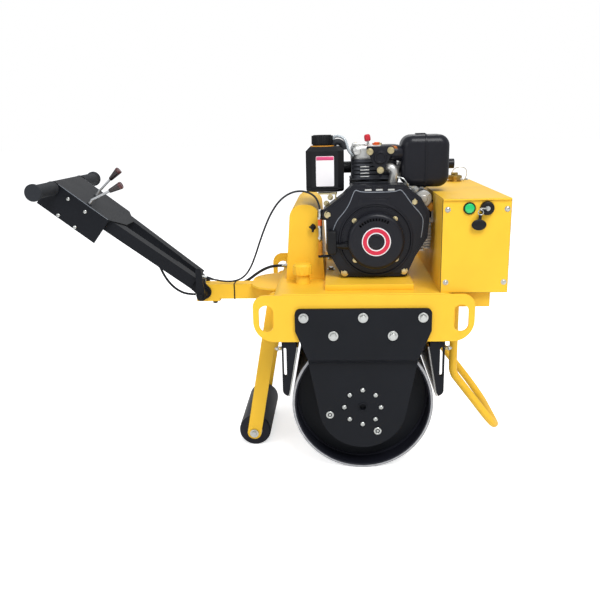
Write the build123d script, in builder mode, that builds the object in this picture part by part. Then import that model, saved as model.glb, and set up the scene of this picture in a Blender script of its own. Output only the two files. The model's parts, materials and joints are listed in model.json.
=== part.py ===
"""Walk-behind single-drum vibratory road roller, in millimetres.

+X is the machine's front, -Y its right-hand side, +Z up, and Z = 0 the ground. The origin is on the
ground, midway along the machine. Lengths called a reach or a back are taken from the drum's axis. The
drum turns on two stub axles held by folded hanger plates, a small roller carries the tail, and the
handle folds about a clamped bolt at the rear of the frame.
"""

import os
from math import cos, radians, sin, tan

from build123d import *

os.makedirs("parts", exist_ok=True)

# ---- Fits ----
RUN_GAP = 0.05  # radial clearance of a shaft that turns in its bore
CLEAR = 5.0  # between pieces that move past each other

# ---- Drum ----
DRUM_R = 212.5
DRUM_HALF = 300.0  # half its width
SHELL_T = 12.0
END_RECESS = 60.0  # from the rim to the end plate
END_T = 12.0
BOSS_R, BOSS_LEN = 55.0, 40.0
AXLE_R, AXLE_PAST = 27.5, 20.0  # past the boss's inner end
EXCITER_WALL = 12.0

# ---- Scrapers ----
CHEEK_T = 17.0
CHEEK_RISE, CHEEK_TOP = 33.5, 262.5  # lowest point and top, above the drum's axis
CHEEK_PAST, CHEEK_SKEW, CHEEK_R = 25.5, 10.0, 18.0  # past the drum's front; slope of the lower edge
CHEEK_SLOT_W, CHEEK_SLOT_H, CHEEK_SLOT_RISE = 9.0, 90.0, 141.5
BLADE_T = 4.0
BLADE_GAP, BLADE_TIP_RISE = 5.5, 27.5  # the tip clears the drum by this and stands above its axis
BLADE_HEEL_IN, BLADE_HEEL_RISE = 21.5, 182.5
SCRAPER_BAR_T, SCRAPER_BAR_W = 8.0, 50.0

# ---- Frame: the deck is a folded channel, its length set by the scrapers inside it ----
FRAME_HALF = DRUM_R + CHEEK_PAST + 25.0  # from the drum's axis to the channel's outer faces
PLATE_T, DRUM_SIDE_GAP = 8.0, 25.0
PLATE_OUT = DRUM_HALF + DRUM_SIDE_GAP + PLATE_T  # side plate's outer face, from the centre plane
EAR_PAST = 55.0  # side plates past the channel, at each end
PLATE_TOP, PLATE_LOW = 560.0, 420.0
PLATE_TOP_R, PLATE_LOW_R = 35.0, 62.0
EAR_SLOT_W, EAR_SLOT_H, EAR_SLOT_PAST = 42.0, 80.0, 17.0
DECK_T, DECK_BEND_R = 6.0, 24.0

# ---- Drum hangers and hubs ----
HANGER_T = 10.0
HANGER_JOG = 18.0  # inward step at the fold
HANGER_TOP, HANGER_HALF, HANGER_R = 521.0, 196.0, 15.0
SHOULDER_Z = 455.0
WAIST_HALF = 160.0
FOLD_TOP, FOLD_LOW = 367.0, 350.0
TONGUE_R = 131.0
HUB_BORE_R = 10.0
HUB_FLANGE_R, HUB_FLANGE_T = 76.0, 12.0
HUB_BARREL_R = 50.0
PLUG_HOLE_R = 9.0
PLUG_HOLES = [(-98.0, -25.5), (45.0, -77.5)]  # x, z from the drum's axis

# ---- Rear roller ----
ROLLER_R = 52.0
ROLLER_HALF = 150.0
ROLLER_AFT = 87.0  # its axis past the frame's rear
ROLLER_BACK = FRAME_HALF + ROLLER_AFT
ROLLER_EDGE_R = 8.0
ARM_W, ARM_T = 45.0, 12.0
ARM_LEAN = 10.2  # degrees off upright
ARM_TOP = 505.0
PIN_R, PIN_HEAD_R, PIN_HEAD_T = 10.0, 14.0, 8.0

# ---- Front cross member and stand ----
MEMBER_LEN, MEMBER_LOW, MEMBER_WALL = 104.0, 512.0, 3.0
MEMBER_IN = 43.0  # its ends inside the side plates' outer faces
MEMBER_HALF = PLATE_OUT - MEMBER_IN
STAND_TUBE_R, STAND_WALL = 12.5, 2.5
STAND_FORE, STAND_REACH = 27.0, 157.0  # its tubes past the frame's front, and its tip past them
STAND_HALF = 165.0
STAND_X = FRAME_HALF + STAND_FORE
STAND_BEND_Z, STAND_BEND_R = 262.0, 60.0
STAND_TIP_X, STAND_TIP_Z, STAND_TIP_R = STAND_X + STAND_REACH, 55.0, 90.0

# ---- Handle bracket ----
BRACKET_LEN, PIVOT_Z = 254.0, 498.0
PIVOT_BACK = FRAME_HALF + BRACKET_LEN
BASE_TUBE, BASE_WALL = 50.0, 4.0
BASE_BLOCK = 25.0  # solid end of the base tube, ahead of the pivot
PIVOT_R = 10.0
GUSSET_T, GUSSET_LEN, GUSSET_HALF, GUSSET_R = 6.0, 93.0, 119.0, 90.0
FOOT_T, FOOT_BACK, FOOT_FORE = 8.0, 28.0, 50.0
NUT_ACROSS_R, NUT_T = 16.0, 10.0

# ---- Handle ----
HANDLE_SLOPE = 37.5
TUBE_W, TUBE_WALL = 40.0, 3.0
TUBE_UP = 13.0  # tube's centre line above the line from the pivot
TUBE_START = 46.0  # along the handle from the pivot
TUBE_SPREAD = 4.4  # degrees that each tube leaves the centre plane by
LUG_T, LUG_R, LUG_LEN = 8.0, 23.0, 130.0
LUG_CLEAR = 1.0  # from the base tube's side to the lug
BOX_NEAR, BOX_LEN = 374.0, 216.0  # along the handle from the pivot
BOX_HALF, BOX_SHEET = 110.0, 3.0
BOX_TOP, BOX_LOW = 36.0, -56.0  # above the line from the pivot
BOX_BEND_R, BOX_FOLD_R = 16.0, 0.5  # rear and front edges of its top
TONGUE_LEN, TONGUE_HALF = 42.0, 40.0  # of the box's top sheet, over the arms
BAR_ALONG, BAR_UP, BAR_HALF = 571.0, 15.0, 252.0
BAR_R, BAR_WALL = 16.0, 2.5
GRIP_R, GRIP_LEN = 21.0, 132.0
GRIP_FLANGE_R, GRIP_FLANGE_T = 26.0, 8.0
LEVER_R, LEVER_BEND_R = 4.0, 8.0
KNOB_LEN, KNOB_R, KNOB_NECK_R = 45.0, 12.0, 6.5
CLAMP_OUT = 86.0  # clamp lever's inner face, from the centre plane
CLAMP_T, CLAMP_LEN, CLAMP_W, CLAMP_BOSS_R, CLAMP_LEAN = 10.0, 86.0, 18.0, 14.0, -4.0

# y, then along and up of a lever's foot in the top sheet, its bend and its knob's end
LEVERS = [
    (24.0, (478.0, BOX_TOP), (478.0, 56.0), (461.0, 156.0)),
    (-94.0, (456.0, BOX_TOP), (456.0, 52.0), (404.0, 150.0)),
]

# ---- Engine ----
CRANK_X, CRANK_Z = 43.0, 694.5
BASE_HALF, BASE_NEAR, BASE_FAR = 129.5, -275.0, 150.0
BASE_MID, BASE_H, BASE_SHEET = 20.5, 17.0, 6.0
SHROUD_NEAR, SHROUD_SHEET = -190.0, 3.0
SHROUD_RIM, SHROUD_STEP = 9.0, 2.5  # width of the raised rim and how far it stands out
RECOIL_R, RECOIL_FLANGE_T = 98.0, 4.0
DOME_R, DOME_H, DOME_EDGE = 84.0, 36.0, 12.0
HUB_RING_OUT, HUB_RING_IN, HUB_RING_DEEP = 43.0, 24.0, 1.2
VENT_COUNT, VENT_R, VENT_LEN, VENT_W = 11, 66.0, 9.0, 5.0
VENT_START, VENT_PITCH = 60.0, 7.5  # degrees round from the front
GRIP_X, GRIP_Z, GRIP_W, GRIP_H, GRIP_DEEP, GRIP_EDGE = -86.0, 690.0, 24.0, 72.0, 26.0, 6.0
CASE_NEAR, CASE_FAR = -108.0, 130.0
CASE_BACK, CASE_REACH, CASE_TOP = -62.0, 148.0, 770.0
CASE_R = 30.0
CYL_Y = -20.0
CYL_R = 50.0
FIN_T, FIN_PITCH, FIN_COUNT = 3.0, 11.0, 9
FIN_W, FIN_D, FIN_R = 150.0, 140.0, 25.0
HEAD_W, HEAD_D, HEAD_H = 140.0, 130.0, 58.0
HEAD_FIN_T, HEAD_FIN_DEEP, HEAD_FINS = 4.0, 14.0, 4
COVER_BACK, COVER_W, COVER_D, COVER_H, COVER_EDGE = 18.0, 106.0, 118.0, 42.0, 12.0
EXHAUST_R = 20.0
MUFFLER_X, MUFFLER_Z, MUFFLER_W, MUFFLER_H, MUFFLER_R = 196.0, 919.0, 145.0, 156.0, 34.0
MUFFLER_NEAR, MUFFLER_FAR, MUFFLER_WALL, MUFFLER_EDGE = -122.0, -2.0, 2.5, 27.0
SEAM_T, SEAM_PROUD = 4.0, 3.0
TAIL_Y, TAIL_DROP, TAIL_R, TAIL_BORE_R, TAIL_LEN = -50.0, 12.0, 15.0, 12.0, 22.0
CLEANER_X, CLEANER_Z, CLEANER_W, CLEANER_H = -107.5, 901.5, 115.0, 133.0
CLEANER_NEAR, CLEANER_FAR, CLEANER_WALL = -150.0, -20.0, 2.5
CLEANER_CORNER, CLEANER_SHOULDER, CLEANER_FOOT_R = 18.0, 12.0, 8.0
CLEANER_CAP_BACK, CLEANER_CAP_R, CLEANER_CAP_H = 8.0, 33.0, 34.0
INTAKE_R, INTAKE_Z = 18.0, 900.0
STARTER_X, STARTER_Z, STARTER_R, STARTER_LEN = 192.0, 806.0, 26.0, 150.0
REGULATOR_Z, REGULATOR_H, REGULATOR_W, REGULATOR_BACK = 680.0, 80.0, 60.0, 20.0
REGULATOR_NEAR = -100.0
REGULATOR_FINS, REGULATOR_FIN_T, REGULATOR_FIN_DEEP = 8, 4.0, 30.0
GUARD_R, GUARD_RISE, GUARD_FAR, GUARD_SHEET = 62.0, 80.0, 210.0, 2.5

# ---- Tanks and boxes ----
TANK_IN, TANK_SIDE_IN = 29.0, 15.0  # its foot inside the frame's rear and the side plate's face
TANK_GAP, TANK_TAPER = 3.0, 17.0  # to the engine's base; slope of its front and of its rear
TANK_BACK, TANK_FORE = FRAME_HALF - TANK_IN, BASE_HALF - BASE_MID + TANK_GAP
TANK_NEAR, TANK_FAR, TANK_TOP = -120.0, PLATE_OUT - TANK_SIDE_IN, 794.0
TANK_R, TANK_WALL = 40.0, 2.5
FILLER_IN, FILLER_OUT = 84.0, 178.0  # from the frame's rear and the centre plane
FILLER_BACK = FRAME_HALF - FILLER_IN
FILLER_PROFILE = [(0, 0), (22, 0), (20, 26), (29, 30), (29, 56), (24, 62), (0, 62)]  # radius, height
CRATE_GAP, CRATE_PAST, CRATE_IN = 4.0, 146.0, 23.0  # to the starter, past the frame, inside its sides
CRATE_X = STARTER_X + STARTER_R + CRATE_GAP
CRATE_LEN = FRAME_HALF + CRATE_PAST - CRATE_X
CRATE_HALF, CRATE_TOP, CRATE_WALL = PLATE_OUT - CRATE_IN, 827.0, 2.5
COVER_T = 3.0
BATTERY_X, BATTERY_Y, BATTERY_Z = 130.0, 220.0, 175.0
SWITCH_Z = CRATE_TOP - 27.0
BUTTON_X, BUTTON_R, BUTTON_T = 72.0, 14.0, 8.0  # x from the box's rear wall
KEY_X, KEY_R, KEY_T = 120.0, 18.0, 14.0
CAP_X, CAP_IN, CAP_R, CAP_H = 120.0, 70.0, 26.0, 22.0

# ---- Cables: x from the drum's axis, y, z ----
THROTTLE_R, RETURN_R, HOSE_R = 3.0, 4.0, 5.0
THROTTLE_ROUTE = [
    (-510, -12, 543), (-482, -14, 536), (-446, -19, 531), (-411, -28, 534), (-380, -44, 551),
    (-355, -64, 584), (-335, -83, 629), (-317, -99, 678), (-297, -114, 727), (-276, -127, 771),
    (-248, -139, 811), (-215, -147, 834), (-182, -151, 841), (-150, -152, 833), (-129, -152, 812),
    (-124, -152, 784),
]
RETURN_ROUTE = [
    (-676, 0, 596), (-665, 0, 567), (-651, 0, 538), (-632, 0, 513), (-608, 0, 494), (-581, 0, 484),
    (-553, 0, 483),
]
HOSE_ROUTE = [
    (-436, 38, 500), (-409, 51, 505), (-380, 60, 517), (-346, 62, 543), (-314, 61, 560), (-286, 60, 567),
    (-262, 60, 567),
]
GLAND_R, GLAND_LEN = 6.0, 16.0
HOSE_GLAND_R, HOSE_GLAND_LEN = 6.5, 42.0
BARREL_R, BARREL_LEN = 5.5, 96.0  # the throttle cable's adjuster
SPRING_R, SPRING_LEN = 6.5, 45.0
LINK_T, LINK_W, LINK_REACH = 8.0, 14.0, 24.0

# The handle's rearmost point is its box's lower corner, and the stand's tip is foremost.
SLOPE = radians(HANDLE_SLOPE)
REAR_REACH = PIVOT_BACK + (BOX_NEAR + BOX_LEN) * cos(SLOPE) - BOX_LOW * sin(SLOPE)
FRONT_REACH = STAND_TIP_X + STAND_TUBE_R
DRUM_X = (REAR_REACH - FRONT_REACH) / 2

PLATE_IN = PLATE_OUT - PLATE_T
HANGER_OUT = PLATE_OUT + HANGER_T
TONGUE_OUT = HANGER_OUT - HANGER_JOG
TONGUE_IN = TONGUE_OUT - HANGER_T
END_OUT = DRUM_HALF - END_RECESS
LUG_IN = BASE_TUBE / 2 + LUG_CLEAR
ENGINE_FLOOR = PLATE_TOP + BASE_H


def side_view(y):
    """Upright plane at y, seen from the right-hand side: local x forward of the drum's axis, y up."""
    return Plane(origin=(DRUM_X, y, 0), x_dir=(1, 0, 0), z_dir=(0, -1, 0))


def end_view(x):
    """Upright plane at x forward of the drum's axis, with local x and y along Y and Z."""
    return Plane(origin=(DRUM_X + x, 0, 0), x_dir=(0, 1, 0), z_dir=(1, 0, 0))


def plan_view(z):
    """Level plane at z with its origin above the drum's axis."""
    return Plane(origin=(DRUM_X, 0, z))


def handle_point(along, y, up):
    """A point of the handle, given along its slope from the pivot, across, and square to the slope."""
    x = DRUM_X - PIVOT_BACK - along * cos(SLOPE) + up * sin(SLOPE)
    return (x, y, PIVOT_Z + along * sin(SLOPE) + up * cos(SLOPE))


def handle_side(y):
    """Upright plane at y whose local x climbs the handle from the pivot; it is extruded towards +Y."""
    return Plane(origin=handle_point(0, y, 0), x_dir=(-cos(SLOPE), 0, sin(SLOPE)), z_dir=(0, 1, 0))


def handle_top(up):
    """Plane along the handle at a height above the pivot's line; it is extruded upwards, square to it."""
    x_dir, z_dir = (-cos(SLOPE), 0, sin(SLOPE)), (sin(SLOPE), 0, cos(SLOPE))
    return Plane(origin=handle_point(0, 0, up), x_dir=x_dir, z_dir=z_dir)


def write(part, name):
    """Labels a finished piece and writes it."""
    part.label = name
    export_step(part, f"parts/{name}.step")


def write_pair(part, name):
    """Writes a right-hand piece and its mirror image on the left."""
    write(part, f"{name}_right")
    with BuildPart() as twin:
        mirror(part, about=Plane.XZ)
    write(twin.part, f"{name}_left")


def write_cable(route, radius, name):
    """Writes a cable's tube, with each arc as large as the two runs beside it allow."""
    points = [Vector(DRUM_X + x, y, z) for x, y, z in route]
    bends = []
    for before, here, after in zip(points, points[1:], points[2:]):
        turn = radians((here - before).get_angle(after - here))
        bends.append(0.45 * min((here - before).length, (after - here).length) / tan(turn / 2))
    with BuildPart() as tube:
        with BuildLine() as path:
            FilletPolyline(*points, radius=bends)
        with BuildSketch(Plane(origin=points[0], z_dir=points[1] - points[0])):
            Circle(radius)
        sweep(path=path.line)
    write(tube.part, name)
    length = sum(edge.length for edge in path.edges())
    print(f"{name}: {length:.0f} mm long, bends of {min(bends):.0f} mm and more")


# ---- Drum ----
with BuildPart() as drum_shell:
    with BuildSketch(side_view(DRUM_HALF)):
        with Locations((0, DRUM_R)):
            Circle(DRUM_R)
            Circle(DRUM_R - SHELL_T, mode=Mode.SUBTRACT)
    extrude(amount=2 * DRUM_HALF)
write(drum_shell.part, "drum_shell")

with BuildPart() as drum_end:
    with BuildSketch(side_view(END_T - END_OUT)):
        with Locations((0, DRUM_R)):
            Circle(DRUM_R - SHELL_T)
    extrude(amount=END_T)
    with BuildSketch(side_view(BOSS_LEN - END_OUT)):
        with Locations((0, DRUM_R)):
            Circle(BOSS_R)
    extrude(amount=BOSS_LEN)
    with BuildSketch(side_view(BOSS_LEN - END_OUT)):
        with Locations((0, DRUM_R)):
            Circle(AXLE_R + RUN_GAP)
    extrude(amount=BOSS_LEN, mode=Mode.SUBTRACT)
write_pair(drum_end.part, "drum_end")

with BuildPart() as exciter:
    core = END_OUT - BOSS_LEN
    with BuildSketch(side_view(core)):
        with Locations((0, DRUM_R)):
            Circle(BOSS_R)
    extrude(amount=2 * core)
    for outer in (core, CLEAR + AXLE_PAST - core):
        with BuildSketch(side_view(outer)):
            with Locations((0, DRUM_R)):
                Circle(BOSS_R - EXCITER_WALL)
        extrude(amount=AXLE_PAST + CLEAR, mode=Mode.SUBTRACT)
write(exciter.part, "exciter")

# ---- Frame ----
with BuildPart() as side_plate:
    with BuildSketch(side_view(-PLATE_IN)):
        with BuildLine():
            half = FRAME_HALF + EAR_PAST
            FilletPolyline(
                (-half, PLATE_LOW),
                (half, PLATE_LOW),
                (half, PLATE_TOP),
                (-half, PLATE_TOP),
                radius=[PLATE_LOW_R, PLATE_LOW_R, PLATE_TOP_R, PLATE_TOP_R],
                close=True,
            )
        make_face()
        slot_x, slot_z = FRAME_HALF + EAR_SLOT_PAST, (PLATE_TOP + PLATE_LOW) / 2
        with Locations((-slot_x, slot_z), (slot_x, slot_z)):
            SlotOverall(EAR_SLOT_H, EAR_SLOT_W, rotation=90, mode=Mode.SUBTRACT)
    extrude(amount=PLATE_T)
write_pair(side_plate.part, "side_plate")

with BuildPart() as deck:
    for inset, mode in ((0, Mode.ADD), (DECK_T, Mode.SUBTRACT)):
        with BuildSketch(side_view(PLATE_IN)):
            with BuildLine():
                half, bend = FRAME_HALF - inset, DECK_BEND_R - inset
                FilletPolyline(
                    (-half, PLATE_LOW),
                    (-half, PLATE_TOP - inset),
                    (half, PLATE_TOP - inset),
                    (half, PLATE_LOW),
                    radius=[bend, bend],
                )
                Line((half, PLATE_LOW), (-half, PLATE_LOW))
            make_face()
        extrude(amount=2 * PLATE_IN, mode=mode)
write(deck.part, "deck")

# ---- Drum hangers and hubs ----
with BuildPart() as hanger:
    with BuildSketch(side_view(-TONGUE_IN)):
        with Locations((0, DRUM_R)):
            Circle(TONGUE_R)
        with Locations((0, (FOLD_TOP + FOLD_LOW) / 2)):
            Rectangle(2 * WAIST_HALF, FOLD_TOP - FOLD_LOW)
        make_hull()
        with BuildLine():
            Polyline(
                (-WAIST_HALF, FOLD_TOP),
                (-HANGER_HALF, SHOULDER_Z),
                (-HANGER_HALF, HANGER_TOP),
                (HANGER_HALF, HANGER_TOP),
                (HANGER_HALF, SHOULDER_Z),
                (WAIST_HALF, FOLD_TOP),
                close=True,
            )
        make_face()
        with Locations(*[(x, DRUM_R + z) for x, z in PLUG_HOLES]):
            Circle(PLUG_HOLE_R, mode=Mode.SUBTRACT)
        with Locations((0, DRUM_R)):
            Circle(HUB_BORE_R, mode=Mode.SUBTRACT)
    extrude(amount=HANGER_OUT - TONGUE_IN)
    fillet(hanger.edges().filter_by(Axis.Y).group_by(Axis.Z)[-1], HANGER_R)
    with BuildSketch(end_view(-HANGER_HALF)):
        with BuildLine():
            Polyline(
                (-HANGER_OUT, HANGER_TOP),
                (-HANGER_OUT, FOLD_TOP),
                (-TONGUE_OUT, FOLD_LOW),
                (-TONGUE_OUT, DRUM_R - TONGUE_R),
                (-TONGUE_IN, DRUM_R - TONGUE_R),
                (-TONGUE_IN, FOLD_LOW),
                (-PLATE_OUT, FOLD_TOP),
                (-PLATE_OUT, HANGER_TOP),
                close=True,
            )
        make_face()
    extrude(amount=2 * HANGER_HALF, mode=Mode.INTERSECT)
write_pair(hanger.part, "hanger_plate")

with BuildPart() as hub_housings:
    barrel_end = END_OUT + CLEAR
    axle_end = END_OUT - BOSS_LEN - AXLE_PAST
    flange_end = TONGUE_IN - HUB_FLANGE_T
    for radius, inner in ((HUB_FLANGE_R, flange_end), (HUB_BARREL_R, barrel_end), (AXLE_R, axle_end)):
        with BuildSketch(side_view(-inner)):
            with Locations((0, DRUM_R)):
                Circle(radius)
        extrude(amount=TONGUE_IN - inner)
    mirror(about=Plane.XZ)
write(hub_housings.part, "hub_housings")

# ---- Scrapers ----
blade_heel = Vector(DRUM_R - BLADE_HEEL_IN, DRUM_R + BLADE_HEEL_RISE)
blade_tip = Vector(DRUM_R + BLADE_GAP, DRUM_R + BLADE_TIP_RISE)
blade_len = (blade_tip - blade_heel).length
blade_down = (blade_tip - blade_heel) / blade_len
blade_out = Vector(-blade_down.Y, blade_down.X)
blade_width = 2 * (PLATE_IN - CHEEK_T)


def blade_section(low, high, inner, outer):
    """The section of a flat bar between two distances down the front blade and two out from its face."""
    with BuildSketch(side_view(blade_width / 2)) as section:
        with BuildLine():
            corners = [(low, inner), (high, inner), (high, outer), (low, outer)]
            points = [blade_heel + blade_down * down + blade_out * out for down, out in corners]
            Polyline(*points, close=True)
        make_face()
    return section.sketch


with BuildPart() as scraper_brackets:
    with BuildSketch(side_view(-blade_width / 2)):
        reach, low, top = DRUM_R + CHEEK_PAST, DRUM_R + CHEEK_RISE, DRUM_R + CHEEK_TOP
        heel = blade_heel + blade_out * BLADE_T
        toe_x = heel.X - (heel.Y - low) * blade_down.X / blade_down.Y
        with BuildLine():
            FilletPolyline(
                (heel.X, top),
                (heel.X, heel.Y),
                (toe_x, low),
                (reach, low + CHEEK_SKEW),
                (reach, top),
                radius=[CHEEK_R, CHEEK_R / 6, CHEEK_R],
            )
            Line((reach, top), (heel.X, top))
        make_face()
        with Locations((reach - CHEEK_SLOT_W, DRUM_R + CHEEK_SLOT_RISE)):
            SlotOverall(CHEEK_SLOT_H, CHEEK_SLOT_W, rotation=90, mode=Mode.SUBTRACT)
    extrude(amount=CHEEK_T)
    mirror(about=Plane.XZ)
    extrude(blade_section(0, SCRAPER_BAR_W, BLADE_T, BLADE_T + SCRAPER_BAR_T), amount=blade_width)
    mirror(about=Plane.YZ.offset(DRUM_X))
write(scraper_brackets.part, "scraper_brackets")

with BuildPart() as scraper_blades:
    extrude(blade_section(0, blade_len, 0, BLADE_T), amount=blade_width)
    mirror(about=Plane.YZ.offset(DRUM_X))
write(scraper_blades.part, "scraper_blades")

# ---- Rear roller ----
arm_in = ROLLER_HALF + CLEAR
arm_rise = ARM_TOP - ROLLER_R
with BuildPart() as roller_arms:
    with BuildSketch(side_view(-arm_in)):
        lean = arm_rise * tan(radians(ARM_LEAN))
        with Locations((-ROLLER_BACK, ROLLER_R), (lean - ROLLER_BACK, ARM_TOP)):
            Circle(ARM_W / 2)
        make_hull()
        with Locations((-FRAME_HALF, 0)):
            Rectangle(ARM_W, 2 * PLATE_TOP, align=(Align.MIN, Align.MIN), mode=Mode.SUBTRACT)
        with Locations((-ROLLER_BACK, ROLLER_R)):
            Circle(PIN_R, mode=Mode.SUBTRACT)
    extrude(amount=ARM_T)
    mirror(about=Plane.XZ)
write(roller_arms.part, "roller_arms")

with BuildPart() as rear_roller:
    with BuildSketch(side_view(ROLLER_HALF)):
        with Locations((-ROLLER_BACK, ROLLER_R)):
            Circle(ROLLER_R)
            Circle(PIN_R + RUN_GAP, mode=Mode.SUBTRACT)
    extrude(amount=2 * ROLLER_HALF)
    fillet(rear_roller.edges().filter_by(GeomType.CIRCLE).sort_by(SortBy.RADIUS)[-2:], ROLLER_EDGE_R)
write(rear_roller.part, "rear_roller")

pin_half = arm_in + ARM_T
with BuildPart() as roller_pin:
    for radius, outer, length in (
        (PIN_R, pin_half, pin_half),
        (PIN_HEAD_R, pin_half + PIN_HEAD_T, PIN_HEAD_T),
    ):
        with BuildSketch(side_view(outer)):
            with Locations((-ROLLER_BACK, ROLLER_R)):
                Circle(radius)
        extrude(amount=length)
    mirror(about=Plane.XZ)
write(roller_pin.part, "roller_pin")

# ---- Front cross member and stand ----
member_mid, member_h = (PLATE_TOP + MEMBER_LOW) / 2, PLATE_TOP - MEMBER_LOW
with BuildPart() as front_member:
    with BuildSketch(side_view(MEMBER_HALF)):
        with Locations((FRAME_HALF + MEMBER_LEN / 2, member_mid)):
            Rectangle(MEMBER_LEN, member_h)
            Rectangle(MEMBER_LEN - 2 * MEMBER_WALL, member_h - 2 * MEMBER_WALL, mode=Mode.SUBTRACT)
    extrude(amount=2 * MEMBER_HALF)
write(front_member.part, "front_member")

with BuildPart() as front_stand:
    with BuildLine() as stand_path:
        FilletPolyline(
            (DRUM_X + STAND_X, -STAND_HALF, MEMBER_LOW),
            (DRUM_X + STAND_X, -STAND_HALF, STAND_BEND_Z),
            (DRUM_X + STAND_TIP_X, -STAND_HALF, STAND_TIP_Z),
            (DRUM_X + STAND_TIP_X, STAND_HALF, STAND_TIP_Z),
            (DRUM_X + STAND_X, STAND_HALF, STAND_BEND_Z),
            (DRUM_X + STAND_X, STAND_HALF, MEMBER_LOW),
            radius=[STAND_BEND_R, STAND_TIP_R, STAND_TIP_R, STAND_BEND_R],
        )
    with BuildSketch(plan_view(MEMBER_LOW)):
        with Locations((STAND_X, -STAND_HALF)):
            Circle(STAND_TUBE_R)
            Circle(STAND_TUBE_R - STAND_WALL, mode=Mode.SUBTRACT)
    sweep()
write(front_stand.part, "front_stand")

# ---- Handle bracket ----
with BuildPart() as handle_bracket:
    with BuildSketch(side_view(BASE_TUBE / 2)):
        with Locations((-PIVOT_BACK, PIVOT_Z)):
            Rectangle(PIVOT_BACK - FRAME_HALF, BASE_TUBE, align=(Align.MIN, Align.CENTER))
            Circle(BASE_TUBE / 2)
            Circle(PIVOT_R + RUN_GAP, mode=Mode.SUBTRACT)
    extrude(amount=BASE_TUBE)
    with BuildSketch(end_view(BASE_BLOCK - PIVOT_BACK)):
        with Locations((0, PIVOT_Z)):
            Rectangle(BASE_TUBE - 2 * BASE_WALL, BASE_TUBE - 2 * BASE_WALL)
    extrude(amount=PIVOT_BACK - BASE_BLOCK - FRAME_HALF, mode=Mode.SUBTRACT)
    with BuildSketch(plan_view(PIVOT_Z + BASE_TUBE / 2)):
        with BuildLine():
            back = FRAME_HALF + GUSSET_LEN
            FilletPolyline(
                (-FRAME_HALF, -GUSSET_HALF),
                (-back, -GUSSET_HALF),
                (-back, GUSSET_HALF),
                (-FRAME_HALF, GUSSET_HALF),
                radius=[GUSSET_R, GUSSET_R],
            )
            Line((-FRAME_HALF, GUSSET_HALF), (-FRAME_HALF, -GUSSET_HALF))
        make_face()
    extrude(amount=GUSSET_T)
    with BuildSketch(plan_view(PIVOT_Z - BASE_TUBE / 2 - FOOT_T)):
        with Locations((-PIVOT_BACK - FOOT_BACK, 0)):
            Rectangle(FOOT_BACK + FOOT_FORE, BASE_TUBE, align=(Align.MIN, Align.CENTER))
    extrude(amount=FOOT_T)
write(handle_bracket.part, "handle_bracket")

# ---- Handle ----
tube_y = LUG_IN + TUBE_W / 2
spread = radians(TUBE_SPREAD)
tube_way = Vector(-cos(SLOPE) * cos(spread), -sin(spread), sin(SLOPE) * cos(spread))
with BuildPart() as handle_arms:
    foot = handle_point(TUBE_START, -tube_y, TUBE_UP)
    tube_foot = Plane(origin=foot, x_dir=(sin(SLOPE), 0, cos(SLOPE)), z_dir=tube_way)
    for inset, mode in ((0, Mode.ADD), (TUBE_WALL, Mode.SUBTRACT)):
        with BuildSketch(tube_foot):
            Rectangle(TUBE_W - 2 * inset, TUBE_W - 2 * inset)
        extrude(amount=(BAR_ALONG - TUBE_START) / cos(spread), mode=mode)
    with BuildSketch(handle_side(-LUG_IN - LUG_T)):
        Circle(LUG_R)
        with Locations(((TUBE_START + LUG_LEN) / 2, TUBE_UP)):
            Rectangle(LUG_LEN - TUBE_START, TUBE_W)
        make_hull()
    extrude(amount=LUG_T)
    with BuildSketch(handle_side(-BOX_HALF)):
        with Locations((BAR_ALONG, BAR_UP)):
            Circle(BAR_R)
    extrude(amount=BOX_HALF, mode=Mode.SUBTRACT)
    with BuildSketch(handle_side(-LUG_IN - LUG_T)):
        Circle(PIVOT_R)
    extrude(amount=LUG_T, mode=Mode.SUBTRACT)
    mirror(about=Plane.XZ)
write(handle_arms.part, "handle_arms")

with BuildPart() as pivot_bolt:
    with BuildSketch(handle_side(-CLAMP_OUT)):
        Circle(PIVOT_R)
    extrude(amount=CLAMP_OUT + LUG_IN + LUG_T)
    with BuildSketch(handle_side(LUG_IN + LUG_T)):
        RegularPolygon(NUT_ACROSS_R, 6)
    extrude(amount=NUT_T)
write(pivot_bolt.part, "pivot_bolt")

with BuildPart() as clamp_lever:
    with BuildSketch(side_view(-CLAMP_OUT)):
        with Locations((-PIVOT_BACK, PIVOT_Z)):
            Circle(CLAMP_BOSS_R)
        with Locations((CLAMP_LEAN - PIVOT_BACK, PIVOT_Z + CLAMP_LEN)):
            Circle(CLAMP_W / 2)
        make_hull()
    extrude(amount=CLAMP_T)
write(clamp_lever.part, "clamp_lever")

with BuildPart() as handlebar:
    with BuildSketch(handle_side(-BAR_HALF)):
        with Locations((BAR_ALONG, BAR_UP)):
            Circle(BAR_R)
            Circle(BAR_R - BAR_WALL, mode=Mode.SUBTRACT)
    extrude(amount=2 * BAR_HALF)
write(handlebar.part, "handlebar")

with BuildPart() as grips:
    for radius, outer, length in (
        (GRIP_R, BAR_HALF, GRIP_LEN),
        (GRIP_FLANGE_R, BAR_HALF + GRIP_FLANGE_T, GRIP_FLANGE_T),
    ):
        with BuildSketch(handle_side(-outer)):
            with Locations((BAR_ALONG, BAR_UP)):
                Circle(radius)
        extrude(amount=length)
    with BuildSketch(handle_side(-BAR_HALF)):
        with Locations((BAR_ALONG, BAR_UP)):
            Circle(BAR_R)
    extrude(amount=GRIP_LEN, mode=Mode.SUBTRACT)
    mirror(about=Plane.XZ)
write(grips.part, "grips")


def knob_neck(bend, tip):
    """The knob's lower end, on the line from a lever's bend to its tip."""
    return Vector(*tip) + (Vector(*bend) - Vector(*tip)).normalized() * KNOB_LEN


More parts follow.
